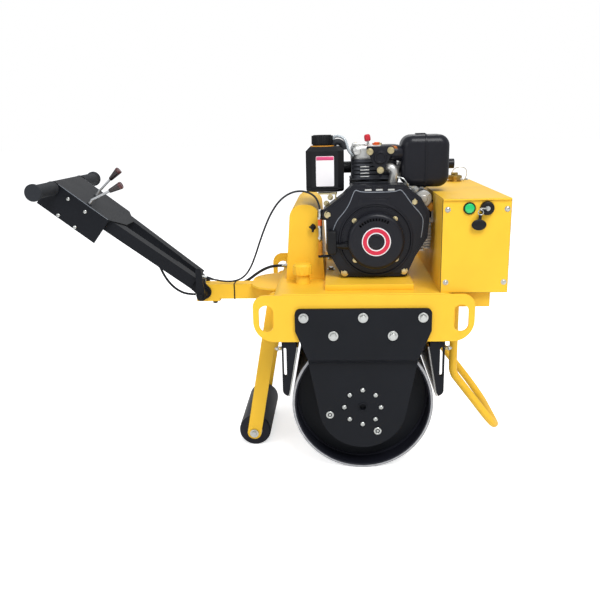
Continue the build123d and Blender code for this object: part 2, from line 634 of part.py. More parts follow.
with BuildPart() as control_levers:
    for y, foot, bend, tip in LEVERS:
        neck = knob_neck(bend, tip)
        with BuildLine(handle_side(y)) as rod:
            FilletPolyline((foot[0], foot[1] - BOX_SHEET), bend, (neck.X, neck.Y), radius=LEVER_BEND_R)
        with BuildSketch(Plane(origin=rod.line @ 0, z_dir=rod.line % 0)):
            Circle(LEVER_R)
        sweep(path=rod.line)
write(control_levers.part, "control_levers")

with BuildPart() as lever_knobs:
    for y, foot, bend, tip in LEVERS:
        neck = knob_neck(bend, tip)
        low = Vector(*handle_point(neck.X, y, neck.Y))
        high = Vector(*handle_point(tip[0], y, tip[1]))
        for end, radius in ((low, KNOB_NECK_R), (high, KNOB_R)):
            with BuildSketch(Plane(origin=end, z_dir=high - low)):
                Circle(radius)
        loft()
write(lever_knobs.part, "lever_knobs")

with BuildPart() as control_box:
    for inset, mode in ((0, Mode.ADD), (BOX_SHEET, Mode.SUBTRACT)):
        with BuildSketch(handle_side(inset - BOX_HALF)):
            with BuildLine():
                far, top = BOX_NEAR + BOX_LEN - inset, BOX_TOP - inset
                FilletPolyline(
                    (BOX_NEAR, BOX_LOW),
                    (BOX_NEAR, top),
                    (far, top),
                    (far, BOX_LOW),
                    radius=[BOX_FOLD_R, BOX_BEND_R - inset],
                )
                Line((far, BOX_LOW), (BOX_NEAR, BOX_LOW))
            make_face()
        extrude(amount=2 * (BOX_HALF - inset), mode=mode)
    with BuildSketch(handle_top(BOX_TOP - BOX_SHEET)):
        with BuildLine():
            Polyline(
                (BOX_NEAR, BOX_HALF),
                (BOX_NEAR - TONGUE_LEN, TONGUE_HALF),
                (BOX_NEAR - TONGUE_LEN, -TONGUE_HALF),
                (BOX_NEAR, -BOX_HALF),
                close=True,
            )
        make_face()
    extrude(amount=BOX_SHEET)
    with BuildSketch(handle_side(-BOX_HALF)):
        with Locations((BAR_ALONG, BAR_UP)):
            Circle(BAR_R)
    extrude(amount=2 * BOX_HALF, mode=Mode.SUBTRACT)
    add(control_levers.part, mode=Mode.SUBTRACT)
write(control_box.part, "control_box")

# ---- Engine ----
with BuildPart() as engine_base:
    for inset, mode in ((0, Mode.ADD), (BASE_SHEET, Mode.SUBTRACT)):
        with BuildSketch(side_view(BASE_FAR)):
            with Locations((BASE_MID, PLATE_TOP)):
                Rectangle(2 * (BASE_HALF - inset), BASE_H - inset, align=(Align.CENTER, Align.MIN))
        extrude(amount=BASE_FAR - BASE_NEAR, mode=mode)
write(engine_base.part, "engine_base")

with BuildPart() as crankcase:
    with BuildSketch(side_view(CASE_FAR)):
        with Locations(((CASE_BACK + CASE_REACH) / 2, ENGINE_FLOOR)):
            Rectangle(CASE_REACH - CASE_BACK, CASE_TOP - ENGINE_FLOOR, align=(Align.CENTER, Align.MIN))
    extrude(amount=CASE_FAR - CASE_NEAR)
    fillet(crankcase.edges().filter_by(Axis.Y).group_by(Axis.Z)[-1], CASE_R)
    fillet(crankcase.edges().filter_by(Axis.Z), CASE_R / 3)
write(crankcase.part, "crankcase")

barrel_top = CASE_TOP + FIN_COUNT * FIN_PITCH
with BuildPart() as cylinder_barrel:
    with BuildSketch(plan_view(CASE_TOP)):
        with Locations((CRANK_X, CYL_Y)):
            Circle(CYL_R)
    extrude(amount=barrel_top - CASE_TOP)
    for i in range(FIN_COUNT):
        with BuildSketch(plan_view(CASE_TOP + i * FIN_PITCH + FIN_PITCH - FIN_T)):
            with Locations((CRANK_X, CYL_Y)):
                RectangleRounded(FIN_W, FIN_D, FIN_R)
        extrude(amount=FIN_T)
write(cylinder_barrel.part, "cylinder_barrel")

head_top = barrel_top + HEAD_H
with BuildPart() as cylinder_head:
    with BuildSketch(plan_view(barrel_top)):
        with Locations((CRANK_X, CYL_Y)):
            RectangleRounded(HEAD_W, HEAD_D, FIN_R)
    extrude(amount=HEAD_H)
    for i in range(HEAD_FINS):
        with BuildSketch(side_view(CYL_Y + HEAD_D / 2)):
            with Locations((CRANK_X, barrel_top + HEAD_H * (i + 1) / (HEAD_FINS + 1))):
                Rectangle(HEAD_W, HEAD_FIN_T)
        extrude(amount=HEAD_D, mode=Mode.SUBTRACT)
    with BuildSketch(plan_view(barrel_top)):
        with Locations((CRANK_X, CYL_Y)):
            Rectangle(HEAD_W, HEAD_D - 2 * HEAD_FIN_DEEP)
    extrude(amount=HEAD_H)
write(cylinder_head.part, "cylinder_head")

with BuildPart() as rocker_cover:
    with BuildSketch(plan_view(head_top)):
        with Locations((CRANK_X - COVER_BACK, CYL_Y)):
            RectangleRounded(COVER_W, COVER_D, FIN_R)
    extrude(amount=COVER_H)
    fillet(rocker_cover.edges().group_by(Axis.Z)[-1], COVER_EDGE)
write(rocker_cover.part, "rocker_cover")

# x, z of the shroud's outline, clockwise from the top's rear end
SHROUD_OUTLINE = [
    (-26, 857), (126, 857), (176, 818), (203, 772), (198, 700), (162, 641), (136, 582), (-58, 582),
    (-90, 641), (-102, 752), (-118, 768), (-112, 786), (-55, 828),
]
shroud_depth = CASE_NEAR - SHROUD_NEAR
with BuildPart() as fan_shroud:
    for inset, depth, mode in (
        (0, shroud_depth - SHROUD_STEP, Mode.ADD),
        (SHROUD_RIM, shroud_depth, Mode.ADD),
        (SHROUD_SHEET, shroud_depth - SHROUD_STEP - SHROUD_SHEET, Mode.SUBTRACT),
        (SHROUD_RIM + SHROUD_SHEET, shroud_depth - SHROUD_SHEET, Mode.SUBTRACT),
    ):
        with BuildSketch(side_view(CASE_NEAR)):
            with BuildLine():
                Polyline(*SHROUD_OUTLINE, close=True)
            make_face()
            if inset:
                offset(amount=-inset, kind=Kind.INTERSECTION)
        extrude(amount=depth, mode=mode)
write(fan_shroud.part, "fan_shroud")

with BuildPart() as recoil_cover:
    with BuildSketch(side_view(SHROUD_NEAR)):
        with Locations((CRANK_X, CRANK_Z)):
            Circle(RECOIL_R)
    extrude(amount=RECOIL_FLANGE_T)
    with BuildSketch(side_view(SHROUD_NEAR - RECOIL_FLANGE_T)):
        with Locations((CRANK_X, CRANK_Z)):
            Circle(DOME_R)
    extrude(amount=DOME_H)
    fillet(recoil_cover.edges().filter_by(GeomType.CIRCLE).sort_by(Axis.Y)[0], DOME_EDGE)
    dome_face = SHROUD_NEAR - RECOIL_FLANGE_T - DOME_H
    with BuildSketch(side_view(SHROUD_NEAR)):
        with Locations((CRANK_X, CRANK_Z)):
            Circle(DOME_R - DOME_EDGE)
    extrude(amount=SHROUD_NEAR - dome_face - SHROUD_SHEET, mode=Mode.SUBTRACT)
    with BuildSketch(side_view(dome_face + HUB_RING_DEEP)):
        with Locations((CRANK_X, CRANK_Z)):
            Circle(HUB_RING_OUT)
            Circle(HUB_RING_IN, mode=Mode.SUBTRACT)
    extrude(amount=HUB_RING_DEEP, mode=Mode.SUBTRACT)
    with BuildSketch(side_view(dome_face + SHROUD_SHEET)):
        with Locations((CRANK_X, CRANK_Z)):
            sweep_angle = VENT_PITCH * VENT_COUNT
            with PolarLocations(VENT_R, VENT_COUNT, VENT_START, sweep_angle):
                Rectangle(VENT_LEN, VENT_W)
    extrude(amount=SHROUD_SHEET, mode=Mode.SUBTRACT)
write(recoil_cover.part, "recoil_cover")

with BuildPart() as recoil_grip:
    with BuildSketch(side_view(SHROUD_NEAR)):
        with Locations((GRIP_X, GRIP_Z)):
            RectangleRounded(GRIP_W, GRIP_H, GRIP_EDGE)
    extrude(amount=GRIP_DEEP)
write(recoil_grip.part, "recoil_grip")

muffler_mid, muffler_depth = (MUFFLER_NEAR + MUFFLER_FAR) / 2, MUFFLER_FAR - MUFFLER_NEAR


def muffler_form(inset):
    """The muffler's rounded body, smaller all round by an inset."""
    with BuildPart() as form:
        with BuildSketch(side_view(MUFFLER_FAR - inset)):
            with Locations((MUFFLER_X, MUFFLER_Z)):
                RectangleRounded(MUFFLER_W - 2 * inset, MUFFLER_H - 2 * inset, MUFFLER_R - inset)
        extrude(amount=muffler_depth - 2 * inset)
        ends = form.edges().group_by(Axis.Y)
        fillet(ends[0] + ends[-1], MUFFLER_EDGE - inset)
    return form.part


with BuildPart() as muffler:
    add(muffler_form(0))
    with BuildSketch(end_view(MUFFLER_X - SEAM_T / 2)):
        with Locations((muffler_mid, MUFFLER_Z)):
            RectangleRounded(
                muffler_depth + 2 * SEAM_PROUD, MUFFLER_H + 2 * SEAM_PROUD, MUFFLER_EDGE + SEAM_PROUD
            )
    extrude(amount=SEAM_T)
    add(muffler_form(MUFFLER_WALL), mode=Mode.SUBTRACT)
write(muffler.part, "muffler")

with BuildPart() as exhaust_pipe:
    with BuildSketch(end_view(CRANK_X + HEAD_W / 2)):
        with Locations((CYL_Y, barrel_top + HEAD_H / 2)):
            Circle(EXHAUST_R)
    extrude(amount=MUFFLER_X - MUFFLER_W / 2 - CRANK_X - HEAD_W / 2)
write(exhaust_pipe.part, "exhaust_pipe")

with BuildPart() as tail_pipe:
    with BuildSketch(end_view(MUFFLER_X + MUFFLER_W / 2)):
        with Locations((TAIL_Y, MUFFLER_Z - TAIL_DROP)):
            Circle(TAIL_R)
            Circle(TAIL_BORE_R, mode=Mode.SUBTRACT)
    extrude(amount=TAIL_LEN)
write(tail_pipe.part, "tail_pipe")

cleaner_mid, cleaner_depth = (CLEANER_NEAR + CLEANER_FAR) / 2, CLEANER_FAR - CLEANER_NEAR
with BuildPart() as air_cleaner:
    for inset, mode in ((0, Mode.ADD), (CLEANER_WALL, Mode.SUBTRACT)):
        with BuildPart(mode=Mode.PRIVATE) as form:
            with BuildSketch(plan_view(CLEANER_Z - CLEANER_H / 2 + inset)):
                with Locations((CLEANER_X, cleaner_mid)):
                    Rectangle(CLEANER_W - 2 * inset, cleaner_depth - 2 * inset)
            extrude(amount=CLEANER_H - 2 * inset)
            chamfer(form.edges().filter_by(Axis.Z), CLEANER_CORNER)
            chamfer(form.edges().group_by(Axis.Z)[-1], CLEANER_SHOULDER)
            fillet(form.edges().group_by(Axis.Z)[0], CLEANER_FOOT_R - inset)
        add(form.part, mode=mode)
write(air_cleaner.part, "air_cleaner")

with BuildPart() as air_cleaner_cap:
    with BuildSketch(plan_view(CLEANER_Z + CLEANER_H / 2)):
        with Locations((CLEANER_X - CLEANER_CAP_BACK, cleaner_mid)):
            Circle(CLEANER_CAP_R)
    extrude(amount=CLEANER_CAP_H)
write(air_cleaner_cap.part, "air_cleaner_cap")

with BuildPart() as intake_elbow:
    with BuildSketch(end_view(CLEANER_X + CLEANER_W / 2)):
        with Locations((CYL_Y, INTAKE_Z)):
            Circle(INTAKE_R)
    extrude(amount=CRANK_X - HEAD_W / 2 - CLEANER_X - CLEANER_W / 2)
write(intake_elbow.part, "intake_elbow")

with BuildPart() as starter_motor:
    with BuildSketch(side_view(CASE_NEAR + STARTER_LEN)):
        with Locations((STARTER_X, STARTER_Z)):
            Circle(STARTER_R)
    extrude(amount=STARTER_LEN)
write(starter_motor.part, "starter_motor")

with BuildPart() as voltage_regulator:
    with BuildSketch(side_view(REGULATOR_NEAR + REGULATOR_W)):
        with Locations((CASE_REACH, REGULATOR_Z)):
            Rectangle(REGULATOR_BACK, REGULATOR_H, align=(Align.MIN, Align.CENTER))
            reach = REGULATOR_BACK + REGULATOR_FIN_DEEP
            with GridLocations(0, REGULATOR_H / REGULATOR_FINS, 1, REGULATOR_FINS):
                Rectangle(reach, REGULATOR_FIN_T, align=(Align.MIN, Align.CENTER))
    extrude(amount=REGULATOR_W)
write(voltage_regulator.part, "voltage_regulator")

with BuildPart() as belt_guard:
    for inset, mode in ((0, Mode.ADD), (GUARD_SHEET, Mode.SUBTRACT)):
        with BuildSketch(side_view(GUARD_FAR - inset)):
            with Locations(*[(CRANK_X, ENGINE_FLOOR + GUARD_R + rise) for rise in (0, GUARD_RISE)]):
                Circle(GUARD_R - inset)
            make_hull()
        extrude(amount=GUARD_FAR - CASE_FAR - inset, mode=mode)
write(belt_guard.part, "belt_guard")

# ---- Tanks and boxes ----
def tank_form(inset):
    """The tank's tapered body, smaller all round by an inset."""
    with BuildPart() as form:
        with BuildSketch(side_view(TANK_FAR - inset)):
            with BuildLine():
                Polyline(
                    (-TANK_BACK, PLATE_TOP),
                    (-TANK_FORE, PLATE_TOP),
                    (-TANK_FORE - TANK_TAPER, TANK_TOP),
                    (TANK_TAPER - TANK_BACK, TANK_TOP),
                    close=True,
                )
            make_face()
            if inset:
                offset(amount=-inset, kind=Kind.INTERSECTION)
        extrude(amount=TANK_FAR - TANK_NEAR - 2 * inset)
        fillet(form.edges().filter_by(Axis.Y).group_by(Axis.Z)[-1], TANK_R - inset)
    return form.part


with BuildPart() as rear_tank:
    add(tank_form(0))
    add(tank_form(TANK_WALL), mode=Mode.SUBTRACT)
write(rear_tank.part, "rear_tank")

with BuildPart() as deck_filler:
    foot = (DRUM_X - FILLER_BACK, -FILLER_OUT, PLATE_TOP)
    with BuildSketch(Plane(origin=foot, x_dir=(1, 0, 0), z_dir=(0, -1, 0))):
        with BuildLine():
            Polyline(*FILLER_PROFILE, close=True)
        make_face()
    revolve(axis=Axis(foot, (0, 0, 1)))
write(deck_filler.part, "deck_filler")

box_h = CRATE_TOP - PLATE_TOP
with BuildPart() as front_box:
    with BuildSketch(side_view(CRATE_HALF)):
        with Locations((CRATE_X, PLATE_TOP)):
            Rectangle(CRATE_LEN, box_h, align=(Align.MIN, Align.MIN))
    extrude(amount=2 * CRATE_HALF)
    with BuildSketch(side_view(CRATE_HALF - CRATE_WALL)):
        with Locations((CRATE_X + CRATE_WALL, PLATE_TOP + CRATE_WALL)):
            Rectangle(CRATE_LEN - 2 * CRATE_WALL, box_h - 2 * CRATE_WALL, align=(Align.MIN, Align.MIN))
    extrude(amount=2 * CRATE_HALF, mode=Mode.SUBTRACT)
write(front_box.part, "front_box")

with BuildPart() as box_cover:
    with BuildSketch(side_view(-CRATE_HALF)):
        with Locations((CRATE_X, PLATE_TOP)):
            Rectangle(CRATE_LEN, box_h, align=(Align.MIN, Align.MIN))
    extrude(amount=COVER_T)
write(box_cover.part, "box_cover")

with BuildPart() as battery:
    with BuildSketch(plan_view(PLATE_TOP + CRATE_WALL)):
        with Locations((CRATE_X + CRATE_LEN / 2, -CRATE_HALF / 2)):
            Rectangle(BATTERY_X, BATTERY_Y)
    extrude(amount=BATTERY_Z)
write(battery.part, "battery")

with BuildPart() as start_button:
    with BuildSketch(side_view(-CRATE_HALF - COVER_T)):
        with Locations((CRATE_X + BUTTON_X, SWITCH_Z)):
            Circle(BUTTON_R)
    extrude(amount=BUTTON_T)
write(start_button.part, "start_button")

with BuildPart() as key_switch:
    with BuildSketch(side_view(-CRATE_HALF - COVER_T)):
        with Locations((CRATE_X + KEY_X, SWITCH_Z)):
            Circle(KEY_R)
    extrude(amount=KEY_T)
write(key_switch.part, "key_switch")

with BuildPart() as box_filler:
    with BuildSketch(plan_view(CRATE_TOP)):
        with Locations((CRATE_X + CAP_X, CRATE_HALF - CAP_IN)):
            Circle(CAP_R)
    extrude(amount=CAP_H)
write(box_filler.part, "box_filler")

# ---- Cables ----
write_cable(THROTTLE_ROUTE, THROTTLE_R, "throttle_cable")
write_cable(RETURN_ROUTE, RETURN_R, "return_cable")
write_cable(HOSE_ROUTE, HOSE_R, "tank_hose")

with BuildPart() as cable_fittings:
    for end, after, radius, length in (
        (THROTTLE_ROUTE[0], THROTTLE_ROUTE[1], GLAND_R, GLAND_LEN),
        (RETURN_ROUTE[-1], RETURN_ROUTE[-2], GLAND_R, BASE_TUBE / 2),
        (HOSE_ROUTE[0], HOSE_ROUTE[1], HOSE_GLAND_R, HOSE_GLAND_LEN),
        (HOSE_ROUTE[-1], HOSE_ROUTE[-2], HOSE_GLAND_R, HOSE_GLAND_LEN),
    ):
        tip = Vector(*end) + Vector(DRUM_X, 0, 0)
        with BuildSketch(Plane(origin=tip, z_dir=Vector(*end) - Vector(*after))):
            Circle(radius)
        extrude(amount=length)
    x, y, z = THROTTLE_ROUTE[0]
    with BuildSketch(plan_view(PIVOT_Z)):
        with Locations((x - GLAND_LEN / 2, y)):
            Rectangle(GLAND_LEN / 2, GLAND_R)
    extrude(amount=z - PIVOT_Z)
    with BuildSketch(side_view(BASE_TUBE / 2)):
        with Locations((-PIVOT_BACK, PIVOT_Z)):
            Rectangle(PIVOT_BACK - FRAME_HALF, BASE_TUBE, align=(Align.MIN, Align.CENTER))
            Circle(BASE_TUBE / 2)
    extrude(amount=BASE_TUBE, mode=Mode.SUBTRACT)
    add(tank_form(0), mode=Mode.SUBTRACT)
write(cable_fittings.part, "cable_fittings")

with BuildPart() as throttle_linkage:
    x, y, z = THROTTLE_ROUTE[-1]
    for radius, length in ((BARREL_R, BARREL_LEN), (SPRING_R, SPRING_LEN)):
        with BuildSketch(plan_view(z)):
            with Locations((x, y)):
                Circle(radius)
        extrude(amount=-length)
        z -= length
    with BuildSketch(side_view(y + LINK_W / 2)):
        with Locations((x - LINK_W / 2, z)):
            Rectangle(2 * LINK_REACH, LINK_T, align=(Align.MIN, Align.MAX))
        with BuildLine():
            Polyline(*SHROUD_OUTLINE, close=True)
        make_face(mode=Mode.SUBTRACT)
    extrude(amount=LINK_W)
write(throttle_linkage.part, "throttle_linkage")
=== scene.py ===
"""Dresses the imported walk-behind roller: paint, castings, bolts, cables, floor, light and camera."""

import json
import logging
from dataclasses import dataclass, field
from enum import Enum
from math import atan2, cos, pi, radians, sin

import bmesh
import bpy
from mathutils import Matrix, Vector


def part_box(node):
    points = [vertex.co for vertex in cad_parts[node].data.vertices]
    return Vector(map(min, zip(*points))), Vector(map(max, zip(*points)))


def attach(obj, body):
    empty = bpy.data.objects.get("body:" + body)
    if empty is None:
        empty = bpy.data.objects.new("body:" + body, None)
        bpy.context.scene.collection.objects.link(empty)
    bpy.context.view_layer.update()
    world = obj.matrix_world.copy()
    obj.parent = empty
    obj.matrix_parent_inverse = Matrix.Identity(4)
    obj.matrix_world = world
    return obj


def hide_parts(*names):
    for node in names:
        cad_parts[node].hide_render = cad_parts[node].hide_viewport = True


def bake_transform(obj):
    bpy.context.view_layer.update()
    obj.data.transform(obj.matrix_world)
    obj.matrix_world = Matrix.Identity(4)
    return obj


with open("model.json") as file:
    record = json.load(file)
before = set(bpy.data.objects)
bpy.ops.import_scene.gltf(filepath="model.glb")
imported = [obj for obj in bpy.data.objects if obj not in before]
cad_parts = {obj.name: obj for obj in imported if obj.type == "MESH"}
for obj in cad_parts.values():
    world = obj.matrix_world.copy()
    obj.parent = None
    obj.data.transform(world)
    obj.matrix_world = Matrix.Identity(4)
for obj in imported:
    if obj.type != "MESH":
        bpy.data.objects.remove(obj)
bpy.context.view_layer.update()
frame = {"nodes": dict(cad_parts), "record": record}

log = logging.getLogger("roller")
MM = 0.001
SMOOTH_ANGLE = radians(35)
DRUM_AXLE = (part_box("drum_shell")[0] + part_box("drum_shell")[1]) / 2


def spot(x: float, y: float, z: float) -> Vector:
    """Turns millimetres from the drum's axis, the centre plane and the ground into the frame's metres.

    Args:
        x: Forward of the drum's axis.
        y: To the machine's left.
        z: Above the ground.

    Returns:
        The point in metres.
    """
    return Vector((DRUM_AXLE.x + x * MM, y * MM, z * MM))


def linear(code: str) -> tuple[float, float, float, float]:
    """Turns an sRGB hex colour into linear red, green, blue and a full alpha.

    Args:
        code: Six hex digits after a hash.

    Returns:
        The linear colour.
    """
    values = [int(code[i : i + 2], 16) / 255 for i in (1, 3, 5)]
    red, green, blue = (v / 12.92 if v <= 0.04045 else ((v + 0.055) / 1.055) ** 2.4 for v in values)
    return red, green, blue, 1.0


def add(
    tree: bpy.types.NodeTree, kind: str, inputs: dict | None = None, **settings: object
) -> bpy.types.Node:
    """Adds a node with its settings, its values and its links.

    Args:
        tree: The node tree.
        kind: The node's type, without its ShaderNode prefix.
        inputs: Socket name or number to a value, or to the socket that feeds it.
        **settings: Properties of the node.

    Returns:
        The new node.
    """
    node = tree.nodes.new(f"ShaderNode{kind}")
    for name, value in settings.items():
        setattr(node, name, value)
    for name, value in (inputs or {}).items():
        if isinstance(value, bpy.types.NodeSocket):
            tree.links.new(value, node.inputs[name])
        else:
            node.inputs[name].default_value = value
    return node


class Grain(Enum):
    """How a surface was made, which decides its fine relief."""

    SPRAYED = "sprayed"
    CAST = "cast"
    BRUSHED = "brushed"
    MOULDED = "moulded"


# The band of bright steel at the drum's rim: half its width, its metal share and its darker steel.
TREAD_HALF_MM = 4.2
TREAD_METAL = 0.6
DULL_STEEL = "#8E8F92"
# How many blotches of tone lie in a metre, and how rough every clear coat is.
BLOTCHES = 9.0
COAT_ROUGHNESS = 0.08


@dataclass(frozen=True)
class Finish:
    """One finish of the machine.

    Attributes:
        name: The material's name.
        colour: Its sRGB colour.
        roughness: The surface's roughness.
        metallic: 1 for bare metal.
        grain: How the surface was made.
        grain_mm: The size of one grain.
        relief_mm: How deep the grain is.
        tone: How far the colour strays over a hand's width, as a share.
        coat: The clear coat's weight.
        worn: The lighter of the two steels that show in the tread, or none.
        edge_mm: How wide the rounded edge is.
        gloss: The level of the surface's own mirror-like share.
        tread_mm: How far from the drum's axis the band of bright steel lies, or 0.
    """

    name: str
    colour: str
    roughness: float
    metallic: float = 0.0
    grain: Grain = Grain.SPRAYED
    grain_mm: float = 1.5
    relief_mm: float = 0.02
    tone: float = 0.05
    coat: float = 0.0
    worn: str = ""
    edge_mm: float = 1.2
    gloss: float = 0.5
    tread_mm: float = 0.0

    def tread(
        self, tree: bpy.types.NodeTree, where: bpy.types.NodeSocket, tint: bpy.types.NodeSocket
    ) -> tuple[bpy.types.NodeSocket, bpy.types.NodeSocket]:
        """Lays bright steel in the band where the drum's coat is worn off.

        Args:
            tree: The material's node tree.
            where: The place on the piece.
            tint: The coat's colour.

        Returns:
            The sockets of the colour and of the metal share.
        """
        arm = add(tree, "VectorMath", {0: where, 1: DRUM_AXLE}, operation="SUBTRACT").outputs[0]
        flat = add(tree, "VectorMath", {0: arm, 1: (1.0, 0.0, 1.0)}, operation="MULTIPLY").outputs[0]
        reach = add(tree, "VectorMath", {0: flat}, operation="LENGTH").outputs["Value"]
        band = {0: reach, 1: self.tread_mm * MM, 2: TREAD_HALF_MM * MM}
        bright = add(tree, "Math", band, operation="COMPARE").outputs[0]
        scuff = add(tree, "TexNoise", {"Vector": where, "Scale": 60.0, "Detail": 6.0}).outputs[0]
        steels = {"Factor": scuff, "A": linear(DULL_STEEL), "B": linear(self.worn)}
        steel = add(tree, "Mix", steels, data_type="RGBA").outputs["Result"]
        colours = {"Factor": bright, "A": tint, "B": steel}
        mixed = add(tree, "Mix", colours, data_type="RGBA").outputs["Result"]
        return mixed, add(tree, "Math", {0: bright, 1: TREAD_METAL}, operation="MULTIPLY").outputs[0]

    def material(self) -> bpy.types.Material:
        """Builds the material once and hands it back.

        Returns:
            The node material.
        """
        found = bpy.data.materials.get(self.name)
        if found:
            return found
        made = bpy.data.materials.new(self.name)
        made.use_nodes = True
        tree = made.node_tree
        tree.nodes.clear()
        where = add(tree, "TexCoord").outputs["Object"]
        stretch = (1.0, 1.0, 0.06) if self.grain is Grain.BRUSHED else (1.0, 1.0, 1.0)
        along = add(tree, "Mapping", {"Vector": where, "Scale": stretch}).outputs[0]
        grains = {"Vector": along, "Scale": 1000 / self.grain_mm, "Detail": 3.0}
        fine = add(tree, "TexNoise", grains).outputs[0]
        broad = add(tree, "TexNoise", {"Vector": where, "Scale": BLOTCHES, "Detail": 4.0}).outputs[0]
        shades = {"Value": broad, "From Min": 0.3, "From Max": 0.7}
        shades |= {"To Min": 1 - self.tone, "To Max": 1 + self.tone}
        shade = add(tree, "MapRange", shades).outputs[0]
        tint = add(tree, "HueSaturation", {"Color": linear(self.colour), "Value": shade}).outputs[0]
        matt = {"To Min": self.roughness * 0.85, "To Max": min(1.0, self.roughness * 1.15)}
        rough = add(tree, "MapRange", {"Value": broad, **matt}).outputs[0]
        round_edge = add(tree, "Bevel", {"Radius": self.edge_mm * MM}, samples=4).outputs[0]
        metal = self.metallic
        if self.tread_mm:
            tint, metal = self.tread(tree, where, tint)
        relief = {"Height": fine, "Distance": self.relief_mm * MM, "Strength": 1.0, "Normal": round_edge}
        skin = add(
            tree,
            "BsdfPrincipled",
            {
                "Base Color": tint,
                "Roughness": rough,
                "Metallic": metal,
                "Specular IOR Level": self.gloss,
                "Coat Weight": self.coat,
                "Coat Roughness": COAT_ROUGHNESS,
                "Normal": add(tree, "Bump", relief).outputs[0],
            },
        )
        add(tree, "OutputMaterial", {"Surface": skin.outputs[0]})
        return made


# Polyester powder coat over plate: a warm yellow with a faint orange peel and a soft gloss.
YELLOW_PAINT = Finish(
    "yellow_powder_coat", "#F2C036", 0.45, grain_mm=2.5, relief_mm=0.03, gloss=0.22, tone=0.04
)
# The same coat in black: the frame's plates look blue-grey where the sky reflects in them.
BLACK_PAINT = Finish(
    "black_powder_coat", "#15171C", 0.48, grain_mm=2.0, relief_mm=0.03, gloss=0.16, tone=0.10
)
# Stoving enamel on pressed engine sheet: smoother and glossier than the frame's coat.
ENGINE_ENAMEL = Finish(
    "black_stoving_enamel", "#1B1C22", 0.34, grain_mm=3.0, relief_mm=0.02, coat=0.06, gloss=0.20, tone=0.08
)
# Rolled mild steel drum, painted black and rubbed bright at its rims.
DRUM_STEEL = Finish(
    "painted_drum_steel",
    "#1C1D25",
    0.42,
    grain_mm=4.0,
    relief_mm=0.05,
    tone=0.15,
    gloss=0.2,
    worn="#C6C6C8",
    edge_mm=3.0,
    tread_mm=209.5,
)
# Bare mild steel, rubbed by the drum: light grey with fine lines.
BLADE_STEEL = Finish("rubbed_steel", "#B9B8B4", 0.32, 1.0, Grain.BRUSHED, 0.8, 0.01, 0.06)
# Bright zinc plate on bolts and pins.
ZINC = Finish("zinc_plate", "#C9CBC8", 0.30, 1.0, Grain.SPRAYED, 0.6, 0.01, 0.08, edge_mm=0.4)
# Zinc with a yellow chromate, as on the engine's own bolts.
YELLOW_ZINC = Finish(
    "yellow_chromate_zinc", "#DCCDA0", 0.30, 1.0, Grain.SPRAYED, 0.6, 0.01, 0.12, edge_mm=0.4
)
# Pressure-cast aluminium: grey, matt and slightly grainy.
CAST_ALUMINIUM = Finish("cast_aluminium", "#A5A6A4", 0.48, 0.85, Grain.CAST, 1.2, 0.08, 0.10)
# The same casting under a thin grey-black engine coat.
DARK_CAST = Finish("coated_casting", "#4A4C52", 0.50, 0.35, Grain.CAST, 1.2, 0.08, 0.18, gloss=0.3)
# Bright steel rod, drawn and plated.
PLATED_ROD = Finish("plated_rod", "#B4B6B8", 0.36, 0.55, Grain.SPRAYED, 0.6, 0.002, 0.05, edge_mm=0.4)
# Moulded nitrile of grips, boots and cable sheaths: matt and nearly black.
RUBBER = Finish(
    "moulded_rubber", "#24272C", 0.70, gloss=0.3, grain=Grain.MOULDED, grain_mm=0.8, relief_mm=0.03
)
# Injection-moulded ABS with a fine spark-eroded texture.
BLACK_PLASTIC = Finish(
    "moulded_black_plastic", "#131417", 0.42, gloss=0.25, grain=Grain.MOULDED, grain_mm=0.7, relief_mm=0.02
)
# Polished dark red phenolic of the levers' knobs: deep and shiny. The caps keep the red, and the lower bodies
# get a nearly black copy of it as painted shade.
KNOB_RED = Finish("dark_red_phenolic", "#4A1618", 0.25, grain=Grain.MOULDED, relief_mm=0.005, coat=0.6)
KNOB_SHADED = Finish("red_phenolic_painted_shade", "#1E1214", 0.28, grain=Grain.MOULDED, relief_mm=0.005, coat=0.5)
# Moulded acrylic of the start button: a clean bright green under a glassy surface.
SIGNAL_GREEN = Finish(
    "green_acrylic", "#0FBF6A", 0.15, grain=Grain.MOULDED, relief_mm=0.003, coat=0.8, tone=0.02
)
# Moulded nylon of the decompression knob: red with a slight shine.
RED_PLASTIC = Finish("red_nylon", "#C4182B", 0.35, grain=Grain.MOULDED, relief_mm=0.01, coat=0.3)
# Moulded polypropylene of the oil filler, the dipstick and the cable's sleeve: a waxy orange.
ORANGE_PLASTIC = Finish("orange_polypropylene", "#E8641E", 0.40, grain=Grain.MOULDED, relief_mm=0.01)
# Amber moulding of the air cleaner's band and the wiring plug, and the amber coat of a spring.
AMBER_PLASTIC = Finish("amber_gasket", "#D9921E", 0.50, grain=Grain.MOULDED, relief_mm=0.01)
# Vinyl film, left blank: flat, with a slight sheen.
WHITE_FILM = Finish("white_vinyl_film", "#E9E7EA", 0.40, grain=Grain.MOULDED, relief_mm=0.003, tone=0.02)
PINK_FILM = Finish("pink_vinyl_film", "#D8487A", 0.40, grain=Grain.MOULDED, relief_mm=0.003, tone=0.02)
RED_FILM = Finish("red_vinyl_film", "#C91F3F", 0.35, grain=Grain.MOULDED, relief_mm=0.003, tone=0.03)
# Plasticised hose, cloudy and faintly blue.
CLEAR_VINYL = Finish("clouded_vinyl_hose", "#B9C1C6", 0.22, grain=Grain.MOULDED, relief_mm=0.003, coat=0.5)
# Annealed copper sheet of the exhaust's gasket: dull and reddish.
COPPER = Finish("soft_copper", "#B9703F", 0.38, 1.0, Grain.BRUSHED, 0.8, 0.01, 0.12, edge_mm=0.4)
# Painted highlight: a grey that stands in for the light caught by the folded edges and pressed ridges of
# black sheet.
PAINTED_EDGE_HIGHLIGHT = Finish(
    "painted_edge_highlight", "#7D838C", 0.35, grain_mm=2.0, relief_mm=0.02, tone=0.12, edge_mm=0.4
)
